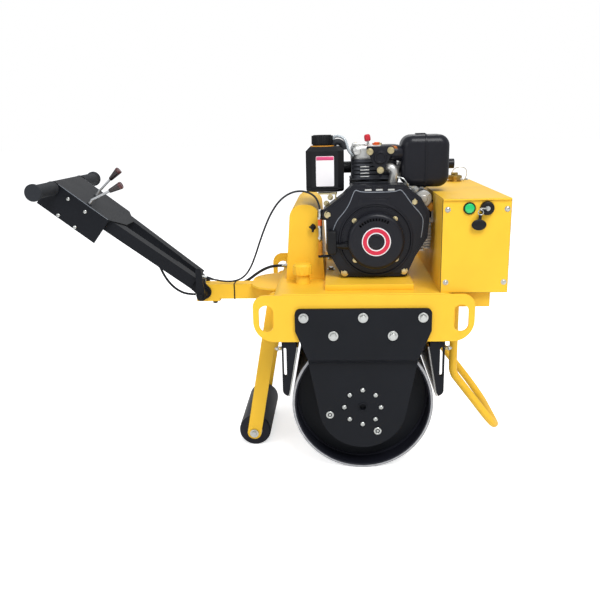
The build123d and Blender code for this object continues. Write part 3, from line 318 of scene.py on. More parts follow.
# Turned brass, slightly dulled, with the fine lines of the lathe.
BRASS = Finish("turned_brass", "#B99A55", 0.30, 1.0, Grain.BRUSHED, 0.5, 0.01, 0.10, edge_mm=0.4)

# Each of the record's slots and the finish that its nodes get.
SLOT_FINISH = {
    "yellow_paint": YELLOW_PAINT,
    "black_paint": BLACK_PAINT,
    "engine_black": ENGINE_ENAMEL,
    "drum_steel": DRUM_STEEL,
    "blade_steel": BLADE_STEEL,
    "machined_steel": BLADE_STEEL,
    "zinc": ZINC,
    "cast_aluminium": CAST_ALUMINIUM,
    "black_rubber": RUBBER,
    "cable_black": RUBBER,
    "black_plastic": BLACK_PLASTIC,
    "battery_case": BLACK_PLASTIC,
    "dark_red_plastic": KNOB_RED,
    "green_plastic": SIGNAL_GREEN,
    "brass": BRASS,
}

# Nodes whose surface differs from the rest of their slot.
NODE_FINISH = {
    "cylinder_barrel": DARK_CAST,
    "cylinder_head": DARK_CAST,
    "crankcase": DARK_CAST,
    "control_levers": PLATED_ROD,
}


class Facing(Enum):
    """Which way a fitting's outer end points."""

    UP = (0.0, 0.0, 1.0)
    DOWN = (0.0, 0.0, -1.0)
    RIGHT = (0.0, -1.0, 0.0)
    LEFT = (0.0, 1.0, 0.0)
    FRONT = (1.0, 0.0, 0.0)
    REAR = (-1.0, 0.0, 0.0)

    def at(self, x: float, y: float, z: float) -> Matrix:
        """Stands a fitting's foot on a point, with its local Z outwards and its local Y up or to the left.

        Args:
            x: Forward of the drum's axis, in millimetres.
            y: To the machine's left.
            z: Above the ground.

        Returns:
            The fitting's placement.
        """
        outward = Vector(self.value)
        upward = Vector((0.0, 1.0, 0.0)) if outward.z else Vector((0.0, 0.0, 1.0))
        turn = Matrix((upward.cross(outward), upward, outward)).transposed().to_4x4()
        return Matrix.Translation((x, y, z)) @ turn


SIDES = ((-1, Facing.RIGHT), (1, Facing.LEFT))


def corner(node: str, far: bool = False) -> Vector:
    """Finds a corner of a CAD node's box.

    Args:
        node: The node's name.
        far: True for the front, left, upper corner and False for the opposite one.

    Returns:
        The corner in millimetres from the drum's axis, the centre plane and the ground.
    """
    return (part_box(node)[far] - Vector((DRUM_AXLE.x, 0.0, 0.0))) / MM


def middle(node: str) -> Vector:
    """Finds the middle of a CAD node's box, in millimetres like corner."""
    return (corner(node) + corner(node, far=True)) / 2


def ends(node: str) -> tuple[Vector, Vector]:
    """Finds both corners of a CAD node's box, the low one first, in millimetres like corner."""
    return corner(node), corner(node, far=True)


def lifted(seat: Matrix, height: float) -> Matrix:
    """Moves a placement along its own outward axis, in millimetres."""
    return seat @ Matrix.Translation((0.0, 0.0, height))


def oblong(left: float, right: float, low: float, high: float) -> list[tuple[float, float]]:
    """Lists the corners of a rectangular outline."""
    return [(left, low), (right, low), (right, high), (left, high)]


def bar(sides: int, radius: float, height: float) -> bmesh.types.BMesh:
    """Makes a closed bar of regular section that stands on its foot.

    Args:
        sides: How many sides it has.
        radius: To its corners.
        height: Its length.

    Returns:
        The form.
    """
    form = bmesh.new()
    bmesh.ops.create_cone(form, cap_ends=True, segments=sides, radius1=radius, radius2=radius, depth=height)
    bmesh.ops.translate(form, vec=(0.0, 0.0, height / 2), verts=form.verts)
    return form


def outer_rim(form: bmesh.types.BMesh, height: float) -> list[bmesh.types.BMEdge]:
    """Lists the edges of a form that lie at its outer end."""
    return [e for e in form.edges if all(v.co.z > 0.99 * height for v in e.verts)]


def bevelled(
    form: bmesh.types.BMesh, parts: list, width: float, steps: int = 2, affect: str = "EDGES"
) -> None:
    """Rounds some edges or corners of a form.

    Args:
        form: The form.
        parts: Its edges or corners to round.
        width: The bevel's width.
        steps: How many faces it gets.
        affect: EDGES or VERTICES.
    """
    bmesh.ops.bevel(
        form,
        geom=parts,
        offset=width,
        segments=steps,
        profile=0.5,
        affect=affect,
        material=-1,
        clamp_overlap=True,
    )


class Workpiece:
    """One piece in the making, in millimetres from the drum's axis, the centre plane and the ground."""

    def __init__(self, name: str, place: Matrix | None = None) -> None:
        """Starts an empty piece.

        Args:
            name: The finished object's name.
            place: Where the piece's own axes stand, or none for the machine's.
        """
        self.name = name
        self.place = place or Matrix()
        self.shape = bmesh.new()

    def join(self, form: bmesh.types.BMesh, at: Matrix) -> None:
        """Adds a closed form to the piece with its faces outwards.

        Args:
            form: The form, which is used up.
            at: Where it goes.
        """
        bmesh.ops.remove_doubles(form, verts=form.verts, dist=0.001)
        bmesh.ops.recalc_face_normals(form, faces=form.faces)
        bmesh.ops.transform(form, matrix=self.place @ at, verts=form.verts)
        carrier = bpy.data.meshes.new("carrier")
        form.to_mesh(carrier)
        form.free()
        self.shape.from_mesh(carrier)
        bpy.data.meshes.remove(carrier)

    def block(self, size: tuple[float, float, float], at: Matrix, edge: float = 1.0) -> None:
        """Adds a block with rounded edges that stands on its placement.

        Args:
            size: Across, up and out.
            at: Where the middle of its foot goes.
            edge: How far its edges are rounded.
        """
        form = bmesh.new()
        bmesh.ops.create_cube(form, size=1.0)
        bmesh.ops.scale(form, vec=size, verts=form.verts)
        bmesh.ops.translate(form, vec=(0.0, 0.0, size[2] / 2), verts=form.verts)
        bevelled(form, form.edges[:], edge)
        self.join(form, at)

    def turned(self, profile: list[tuple[float, float]], at: Matrix, steps: int = 32) -> None:
        """Adds a form turned on a lathe.

        Args:
            profile: Radius and height of each corner, from the foot outwards.
            at: Where the foot's centre goes.
            steps: How many faces go round.
        """
        form = bmesh.new()
        corners = [form.verts.new((radius, 0.0, height)) for radius, height in profile]
        for first, second in zip(corners, corners[1:]):
            form.edges.new((first, second))
        bmesh.ops.spin(
            form,
            geom=form.verts[:] + form.edges[:],
            cent=(0.0, 0.0, 0.0),
            axis=(0.0, 0.0, 1.0),
            angle=2 * pi,
            steps=steps,
            use_merge=True,
        )
        self.join(form, at)

    def rod(self, radius: float, height: float, at: Matrix, steps: int = 24) -> None:
        """Adds a plain round bar that stands on its placement.

        Args:
            radius: Its radius.
            height: Its length.
            at: Where its foot's centre goes.
            steps: How many faces go round.
        """
        self.turned([(0.0, 0.0), (radius, 0.0), (radius, height), (0.0, height)], at, steps)

    def ring(self, inner: float, outer: float, height: float, at: Matrix, steps: int = 32) -> None:
        """Adds a flat ring with broken edges.

        Args:
            inner: Its bore's radius.
            outer: Its outer radius.
            height: Its thickness.
            at: Where its foot's centre goes.
            steps: How many faces go round.
        """
        edge = min(0.3 * height, 0.2 * (outer - inner))
        profile = [
            (inner, 0.0),
            (outer, 0.0),
            (outer, height - edge),
            (outer - edge, height),
            (inner + edge, height),
            (inner, height - edge),
            (inner, 0.0),
        ]
        self.turned(profile, at, steps)

    def prism(self, sides: int, radius: float, height: float, at: Matrix, edge: float = 0.8) -> None:
        """Adds a bar of regular section with its outer rim rounded.

        Args:
            sides: How many sides it has.
            radius: To its corners.
            height: Its length.
            at: Where its foot's centre goes.
            edge: How far the rim is rounded.
        """
        form = bar(sides, radius, height)
        bevelled(form, outer_rim(form, height), edge)
        self.join(form, at)

    def knurled(self, radius: float, height: float, grips: int, deep: float, at: Matrix) -> None:
        """Adds a cap with grooves cut down its side.

        Args:
            radius: Its outer radius.
            height: Its height.
            grips: How many ridges it has.
            deep: How deep the grooves are.
            at: Where its foot's centre goes.
        """
        form = bar(2 * grips, radius, height)
        form.faces.ensure_lookup_table()
        sides = [f for f in form.faces if abs(f.normal.z) < 0.5]
        sides.sort(key=lambda f: atan2(f.calc_center_median().y, f.calc_center_median().x))
        bmesh.ops.inset_individual(form, faces=sides[::2], thickness=0.12 * radius / grips, depth=-deep)
        bevelled(form, outer_rim(form, height), 0.08 * height)
        self.join(form, at)

    def coil(self, radius: float, wire: float, height: float, turns: int, at: Matrix) -> None:
        """Adds a coil spring.

        Args:
            radius: To the wire's centre.
            wire: The wire's radius.
            height: The spring's length.
            turns: How many turns it has.
            at: Where its foot's centre goes.
        """
        form = bmesh.new()
        start = Matrix.Translation((radius, 0.0, wire)) @ Matrix.Rotation(pi / 2, 4, "X")
        bmesh.ops.create_circle(form, segments=8, radius=wire, matrix=start)
        steps = 20 * turns
        bmesh.ops.spin(
            form,
            geom=form.verts[:] + form.edges[:],
            cent=(0.0, 0.0, 0.0),
            axis=(0.0, 0.0, 1.0),
            dvec=(0.0, 0.0, (height - 2 * wire) / steps),
            angle=2 * pi * turns,
            steps=steps,
        )
        bmesh.ops.holes_fill(form, edges=form.edges[:], sides=0)
        self.join(form, at)

    def plate(
        self,
        outline: list[tuple[float, float]],
        depth: float,
        at: Matrix,
        round_by: float = 0.0,
        rim: float = 0.5,
    ) -> None:
        """Adds a plate cut to an outline.

        Args:
            outline: Across and up of each corner.
            depth: Its thickness.
            at: Where the outline's zero goes.
            round_by: How far each corner is rounded.
            rim: How far its outer rim is broken.
        """
        form = bmesh.new()
        form.faces.new([form.verts.new((x, y, 0.0)) for x, y in outline])
        if round_by:
            bevelled(form, form.verts[:], round_by, 5, "VERTICES")
        grown = bmesh.ops.extrude_face_region(form, geom=form.faces[:])["geom"]
        top = [part for part in grown if isinstance(part, bmesh.types.BMVert)]
        bmesh.ops.translate(form, vec=(0.0, 0.0, depth), verts=top)
        bmesh.ops.holes_fill(form, edges=form.edges[:], sides=0)
        bevelled(form, outer_rim(form, depth), min(rim, 0.4 * depth))
        self.join(form, at)

    def bolt(self, head: float, at: Matrix, washer: float = 0.0, height: float = 0.72) -> None:
        """Adds a hexagon bolt's head, on its washer if it has one.

        Args:
            head: The radius to its corners.
            at: Where it sits.
            washer: The washer's radius.
            height: The head's height as a share of its radius.
        """
        lift = 0.0
        if washer:
            lift = 0.2 * head
            self.ring(0.3 * head, washer, lift, at)
        seat = lifted(at, lift)
        rise = height * head
        self.prism(6, head, rise, seat, 0.12 * head)
        top = [(0.72 * head, rise + 0.05 * head), (0.0, rise + 0.08 * head)]
        self.turned([(0.0, 0.0), (0.8 * head, 0.0), *top], seat, 24)

    def dome(self, radius: float, height: float, at: Matrix, socket: float = 0.0) -> None:
        """Adds a round domed head, with a socket for a key if it has one.

        Args:
            radius: The head's radius.
            height: Its height.
            at: Where it sits.
            socket: The socket's radius.
        """
        profile = [(0.0, 0.0), (radius, 0.0), (radius, 0.25 * height), (0.9 * radius, 0.6 * height)]
        profile += [(0.65 * radius, 0.88 * height), (max(socket, 0.3 * radius), height)]
        profile += [(socket, 0.5 * height)] if socket else []
        profile += [(0.0, 0.5 * height if socket else height)]
        self.turned(profile, at, 28)

    def done(self, finish: Finish, body: str, slot: str, *stands_for: str) -> bpy.types.Object:
        """Finishes the piece, dresses it and lets it ride.

        Args:
            finish: Its finish.
            body: The CAD body that it rides on.
            slot: The record's material slot; not used.
            *stands_for: CAD nodes that it replaces.

        Returns:
            The finished object.
        """
        to_frame = Matrix.Translation((DRUM_AXLE.x, 0.0, 0.0)) @ Matrix.Scale(MM, 4)
        bmesh.ops.transform(self.shape, matrix=to_frame, verts=self.shape.verts)
        mesh = bpy.data.meshes.new(self.name)
        self.shape.to_mesh(mesh)
        self.shape.free()
        mesh.shade_smooth()
        mesh.set_sharp_from_angle(angle=SMOOTH_ANGLE)
        mesh.materials.append(finish.material())
        made = bpy.data.objects.new(self.name, mesh)
        bpy.context.scene.collection.objects.link(made)
        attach(made, body)
        if stands_for:
            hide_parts(*stands_for)
        log.info("made %s, %d faces, in %s", self.name, len(mesh.polygons), finish.name)
        return made


def routed(
    name: str, points: list[tuple[float, float, float]], radius: float, finish: Finish
) -> bpy.types.Object:
    """Lays a round tube, hose or cable along one smooth line.

    Args:
        name: The object's name.
        points: The line's control points, in millimetres like corner.
        radius: The tube's radius in millimetres.
        finish: Its finish.

    Returns:
        The curve object.
    """
    line = bpy.data.curves.new(name, "CURVE")
    line.dimensions = "3D"
    run = line.splines.new("NURBS")
    run.points.add(len(points) - 1)
    for knot, place in zip(run.points, points):
        knot.co = (*spot(*place), 1.0)
    run.order_u = 3
    run.use_endpoint_u = True
    line.resolution_u = 12
    line.bevel_depth = radius * MM
    line.bevel_resolution = 4
    line.use_fill_caps = True
    line.materials.append(finish.material())
    made = bpy.data.objects.new(name, line)
    bpy.context.scene.collection.objects.link(made)
    return made


def piped(
    name: str,
    points: list[tuple[float, float, float]],
    radius: float,
    finish: Finish,
) -> bpy.types.Object:
    """Makes a rigid bent pipe or bead that rides on the frame.

    Args:
        name: The object's name.
        points: Its line, in millimetres like corner.
        radius: Its radius in millimetres.
        finish: Its finish.

    Returns:
        The finished object.
    """
    made = routed(name, points, radius, finish)
    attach(made, "frame")
    log.info("bent %s in %s", name, finish.name)
    return made


def dress_nodes() -> None:
    """Gives every carried-over node the finish of its slot."""
    for entry in frame["record"]["subparts"]:
        node = frame["nodes"][entry["node"]]
        made = NODE_FINISH.get(entry["node"], SLOT_FINISH[entry["material_slot"]]).material()
        node.data.materials.clear()
        node.data.materials.append(made)
        log.info("dressed %s in %s", entry["node"], made.name)


@dataclass
class Cables:
    """The three control lines, each on one smooth line.

    Attributes:
        throttle: The throttle cable's line, from the base tube to the engine's adjuster.
        return_loop: The line of the loop under the handle, from the arms to the base tube.
        hose: The line of the hose from the handle's base to the tank.
        throttle_mm: Radius and length of the throttle cable.
        return_mm: Radius and length of the loop.
        hose_mm: Radius and length of the hose.
        boot_len: Length of the sleeve at a line's gland.
    """

    throttle: list[tuple[float, float, float]] = field(
        default_factory=lambda: [
            (-510, -12, 543), (-482, -14, 536), (-446, -19, 531), (-411, -28, 534), (-380, -44, 551),
            (-355, -64, 584), (-335, -83, 629), (-317, -99, 678), (-297, -114, 727), (-276, -127, 771),
            (-248, -139, 811), (-215, -147, 834), (-182, -151, 841), (-150, -152, 833), (-129, -152, 812),
            (-124, -152, 784),
        ]
    )
    return_loop: list[tuple[float, float, float]] = field(
        default_factory=lambda: [
            (-676, 0, 596), (-665, 0, 567), (-651, 0, 538), (-632, 0, 513), (-608, 0, 494), (-581, 0, 484),
            (-553, 0, 483),
        ]
    )
    hose: list[tuple[float, float, float]] = field(
        default_factory=lambda: [
            (-436, 38, 500), (-409, 51, 505), (-380, 60, 517), (-346, 62, 543), (-314, 61, 560),
            (-286, 60, 567), (-262, 60, 567),
        ]
    )
    throttle_mm: tuple[float, float] = (3.0, 612.0)
    return_mm: tuple[float, float] = (4.0, 181.0)
    hose_mm: tuple[float, float] = (5.0, 194.0)
    boot_len: float = 22.0

    def boot(self, name: str, end: tuple, after: tuple, radius: float) -> bpy.types.Object:
        """Turns the tapered sleeve where a line leaves its gland.

        Args:
            name: The sleeve's name.
            end: The line's end.
            after: The line's next point.
            radius: The line's radius.

        Returns:
            The finished sleeve.
        """
        way = Vector(after) - Vector(end)
        at = Matrix.Translation(end) @ way.to_track_quat("Z", "Y").to_matrix().to_4x4()
        piece = Workpiece(name)
        length = self.boot_len
        profile = [
            (radius, 0.0),
            (radius + 2.2, 0.0),
            (radius + 2.4, 0.25 * length),
            (radius + 1.2, 0.7 * length),
            (radius + 0.5, length),
            (radius, length),
            (radius, 0.0),
        ]
        piece.turned(profile, at, 20)
        return piece.done(RUBBER, "frame", "cable_black")

    def lay(self, name: str, sleeve_name: str, node: str, points: list, size: tuple[float, float]) -> None:
        """Lays a line that is fixed to the frame at both ends.

        Args:
            name: The line's name.
            sleeve_name: The name of the sleeve at its start.
            node: The CAD node that it replaces.
            points: Its control points.
            size: Its radius and length.
        """
        radius, length = size
        sleeve = self.boot(sleeve_name, points[0], points[1], radius)
        made = routed(name, points, radius, RUBBER)
        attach(made, "frame")
        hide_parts(node)

    def return_cable(self) -> None:
        """Lays the loop that runs from the handle to the frame."""
        radius, length = self.return_mm
        line = routed("return_line", self.return_loop, radius, RUBBER)
        graph = bpy.context.evaluated_depsgraph_get()
        mesh = bpy.data.meshes.new_from_object(line.evaluated_get(graph))
        line.data.bevel_depth = 0.0
        line.data.update_tag()
        bpy.context.view_layer.update()
        graph = bpy.context.evaluated_depsgraph_get()
        bare = bpy.data.meshes.new_from_object(line.evaluated_get(graph))
        bpy.data.meshes.remove(bare)
        bpy.data.objects.remove(line)
        mesh.name = "return_sheath"
        mesh.shade_smooth()
        made = bpy.data.objects.new("return_sheath", mesh)
        bpy.context.scene.collection.objects.link(made)
        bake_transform(made)
        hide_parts("return_cable")

    def build(self) -> None:
        """Lays all three lines."""
        self.lay("throttle_sheath", "throttle_boot", "throttle_cable", self.throttle, self.throttle_mm)
        self.return_cable()
        self.lay("hose_wall", "hose_boot", "tank_hose", self.hose, self.hose_mm)
        log.info("laid the three control lines")


@dataclass
class DrumGear:
    """Fasteners and trim of the drum's hangers, hubs, scrapers and of the rear roller.

    Attributes:
        hanger_bolts: Places of the hanger's bolts, forward of the drum's axis and above the ground.
        hanger_bolt: Radii of their heads and washers.
        jog: How far the hanger's tongue lies inside its upper half.
        hub_circle: Radius of the circle of hub bolts.
        hub_bolt: Radius and height of their domed heads.
        hub_bolts: How many of them go round.
        hub_bore: Radius of the tongue's middle hole.
        plugs: Places of the level plugs from the drum's axis.
        plug_bore: Radius of their holes.
        weld: Leg of the fillet welds inside the drum.
        end_plate: How far the drum's end plates stand from the centre plane.
        shell_inner: The drum shell's inner radius.
        adjuster_z: Height of the scrapers' studs above the ground.
        adjuster_y: How far they stand from the centre plane.
    """

    hanger_bolts: tuple = ((-171.0, 495.0), (0.0, 495.0), (171.0, 495.0), (-85.5, 441.0), (85.5, 441.0))
    hanger_bolt: tuple[float, float] = (10.5, 14.5)
    jog: float = 18.0
    hub_circle: float = 54.5
    hub_bolt: tuple[float, float] = (7.3, 6.0)
    hub_bolts: int = 8
    hub_bore: float = 10.0
    plugs: tuple = ((-98.0, -25.5), (45.0, -77.5))
    plug_bore: float = 9.0
    weld: float = 5.0
    end_plate: float = 240.0
    shell_inner: float = 200.5
    adjuster_z: float = 395.0
    adjuster_y: float = 316.5

    def hanger_fasteners(self) -> None:
        """Bolts the hangers to the side plates."""
        piece = Workpiece("hanger_bolts")
        for way, facing in SIDES:
            face = way * corner("hanger_plate_left", far=True).y
            for x, z in self.hanger_bolts:
                seat = facing.at(x, face, z) @ Matrix.Rotation(0.3 * x, 4, "Z")
                piece.bolt(self.hanger_bolt[0], seat, self.hanger_bolt[1], 0.6)
        piece.done(ZINC, "frame", "zinc")

    def hub_fasteners(self) -> None:
        """Sets the ring of hub bolts, the bore's rim and the level plugs into each tongue."""
        bolts, rims = Workpiece("hub_bolts"), Workpiece("hub_bore_rims")
        plugs, sockets = Workpiece("level_plugs"), Workpiece("level_plug_sockets")
        axle = DRUM_AXLE.z / MM
        for way, facing in SIDES:
            face = way * (corner("hanger_plate_left", far=True).y - self.jog)
            for i in range(self.hub_bolts):
                turn = 2 * pi * i / self.hub_bolts
                x, z = self.hub_circle * sin(turn), self.hub_circle * cos(turn)
                bolts.dome(*self.hub_bolt, facing.at(x, face, axle + z), 2.4)
            rims.ring(self.hub_bore, self.hub_bore + 4.0, 2.5, facing.at(0.0, face, axle))
            for x, z in self.plugs:
                seat = facing.at(x, face, axle + z)
                plugs.ring(self.plug_bore - 2.5, self.plug_bore + 2.5, 2.2, seat)
                plugs.prism(6, 4.2, 2.6, lifted(seat, -1.0), 0.5)
                sockets.turned(
                    [(0.0, -4.0), (self.plug_bore, -4.0), (self.plug_bore, -0.5), (0.0, -0.5)], seat, 24
                )
        bolts.done(ZINC, "frame", "zinc")
        rims.done(BLACK_PAINT, "frame", "black_paint")
        plugs.done(ZINC, "frame", "zinc")
        sockets.done(BLACK_PAINT, "frame", "black_paint")

    def drum_welds(self) -> None:
        """Runs the fillet welds round the drum's end plates."""
        piece = Workpiece("drum_end_welds")
        for way, facing in SIDES:
            seat = facing.at(0.0, way * self.end_plate, DRUM_AXLE.z / MM)
            rim, leg = self.shell_inner, self.weld
            piece.turned(
                [(rim, 0.0), (rim - leg, 0.0), (rim - 0.7 * leg, 0.5 * leg), (rim, leg), (rim, 0.0)], seat, 96
            )
        piece.done(DRUM_STEEL, "drum", "drum_steel")

    def scraper_adjusters(self) -> None:
        """Sets the sprung studs that hold the scraper cheeks to their blades."""
        studs, springs = Workpiece("scraper_studs"), Workpiece("scraper_springs")
        reach = corner("scraper_brackets", far=True).x
        for way_y, _ in SIDES:
            for way_x, facing in ((-1, Facing.REAR), (1, Facing.FRONT)):
                seat = facing.at(way_x * reach, way_y * self.adjuster_y, self.adjuster_z)
                springs.coil(5.2, 1.1, 11.0, 4, seat)
                studs.turned([(0.0, 0.0), (3.0, 0.0), (3.0, 20.0), (2.4, 21.0), (0.0, 21.0)], seat, 16)
                studs.ring(3.0, 8.0, 1.4, lifted(seat, 11.0))
                studs.bolt(6.6, lifted(seat, 12.4), 0.0, 0.7)
        studs.done(ZINC, "frame", "zinc")
        springs.done(YELLOW_ZINC, "frame", "zinc")

    def roller_fasteners(self) -> None:
        """Puts the nuts on the rear roller's pin and the seals on its ends."""
        nuts, seals = Workpiece("roller_pin_nuts"), Workpiece("roller_seals")
        pin, roller = middle("roller_pin"), corner("rear_roller", far=True).y
        for way, facing in SIDES:
            seat = facing.at(pin.x, way * corner("roller_pin", far=True).y, pin.z)
            nuts.bolt(9.0, seat, 0.0, 0.6)
            seals.ring(10.5, 24.0, 2.0, facing.at(pin.x, way * roller, pin.z))
        nuts.done(ZINC, "frame", "zinc")
        seals.done(ZINC, "roller", "zinc")

    def build(self) -> None:
        """Makes every piece of the drum gear."""
        self.hanger_fasteners()
        self.hub_fasteners()
        self.drum_welds()
        self.scraper_adjusters()
        self.roller_fasteners()


@dataclass
class Chassis:
    """Welds, ties and caps of the frame.

    Attributes:
        bead: Radius of a weld bead.
        tie_x: Where the cable tie goes round the base tube, forward of the drum's axis.
        tie: Width and thickness of the tie.
        tube: The base tube's half width, its lower and its upper face.
        stop: Place of the handle's stop bolt.
        stand: Place of the stand's tubes, forward of the drum's axis and from the centre plane.
    """

    bead: float = 2.6
    tie_x: float = -417.0
    tie: tuple[float, float] = (4.0, 1.4)
    tube: tuple[float, float, float] = (25.0, 473.0, 523.0)
    stop: tuple[float, float, float] = (-485.0, -12.0, 465.0)
    stand: tuple[float, float] = (290.0, 165.0)

    def welds(self) -> None:
        """Runs the weld beads along the frame's joints."""
        top = corner("deck", far=True)
        inner = corner("side_plate_left").y
        low, gusset = middle("handle_bracket").z, corner("handle_bracket", far=True).z
        reach = top.x - 30
        beads = {
            "deck_weld_right": [(-reach, -inner, top.z), (0, -inner, top.z), (reach, -inner, top.z)],
            "deck_weld_left": [(-reach, inner, top.z), (0, inner, top.z), (reach, inner, top.z)],
            "gusset_weld": [(-top.x, -110, gusset), (-top.x, 0, gusset), (-top.x, 110, gusset)],
            "base_tube_weld_right": [(-top.x, -25, low - 22), (-top.x, -25, low), (-top.x, -25, low + 16)],
            "base_tube_weld_left": [(-top.x, 25, low - 22), (-top.x, 25, low), (-top.x, 25, low + 16)],
        }
        for name, points in beads.items():
            piped(name, points, self.bead, YELLOW_PAINT)
        piece = Workpiece("stand_welds")
        x, y = self.stand
        foot = corner("front_member").z
        for way, _ in SIDES:
            seat = Facing.DOWN.at(x, way * y, foot)
            piece.turned([(12.0, 0.0), (17.0, 0.0), (15.0, 3.0), (12.0, 5.0), (12.0, 0.0)], seat, 32)
        piece.done(YELLOW_PAINT, "frame", "yellow_paint")

    def cable_tie(self) -> None:
        """Straps the base tube with a cable tie and its lock."""
        width, thick = self.tie
        half, low, high = self.tube
        piece = Workpiece("cable_tie")
        for way, facing in SIDES:
            seat = facing.at(self.tie_x, way * half, (low + high) / 2)
            piece.block((width, high - low + 2 * thick, thick), seat, 0.4)
        for z, facing in ((high, Facing.UP), (low, Facing.DOWN)):
            piece.block((width, 2 * half + 2 * thick, thick), facing.at(self.tie_x, 0.0, z), 0.4)
        piece.block((width + 3.0, 7.0, 5.0), Facing.UP.at(self.tie_x, 12.0, high + thick), 1.0)
        piece.done(BLACK_PLASTIC, "frame", "black_plastic")

    def closing_plates(self) -> None:
        """Closes the open ends of the engine's base and of the front member."""
        piece = Workpiece("closing_plates")
        # For each member: what its plate is short of it in length and height, its depth and its thickness.
        members = (("engine_base", 1.0, 0.6, 3.6, 4.0), ("front_member", 2.0, 2.0, 2.0, 3.0))
        for node, short_x, short_z, deep, thick in members:
            low, high = ends(node)
            mid = (low + high) / 2
            for y, facing in ((low.y + deep, Facing.RIGHT), (high.y - deep, Facing.LEFT)):
                size = (high.x - low.x - short_x, high.z - low.z - short_z, thick)
                piece.block(size, facing.at(mid.x, y, mid.z), 0.8)
        piece.done(YELLOW_PAINT, "frame", "yellow_paint")

    def stop_bolt(self) -> None:
        """Screws the handle's stop bolt up into the bracket's foot."""
        piece = Workpiece("handle_stop_bolt")
        seat = Facing.DOWN.at(*self.stop)
        piece.bolt(8.5, seat, 11.0, 0.8)
        piece.done(BLACK_PAINT, "frame", "black_paint")

    def build(self) -> None:
        """Makes every piece of the chassis."""
        self.welds()
        self.cable_tie()
        self.closing_plates()
        self.stop_bolt()


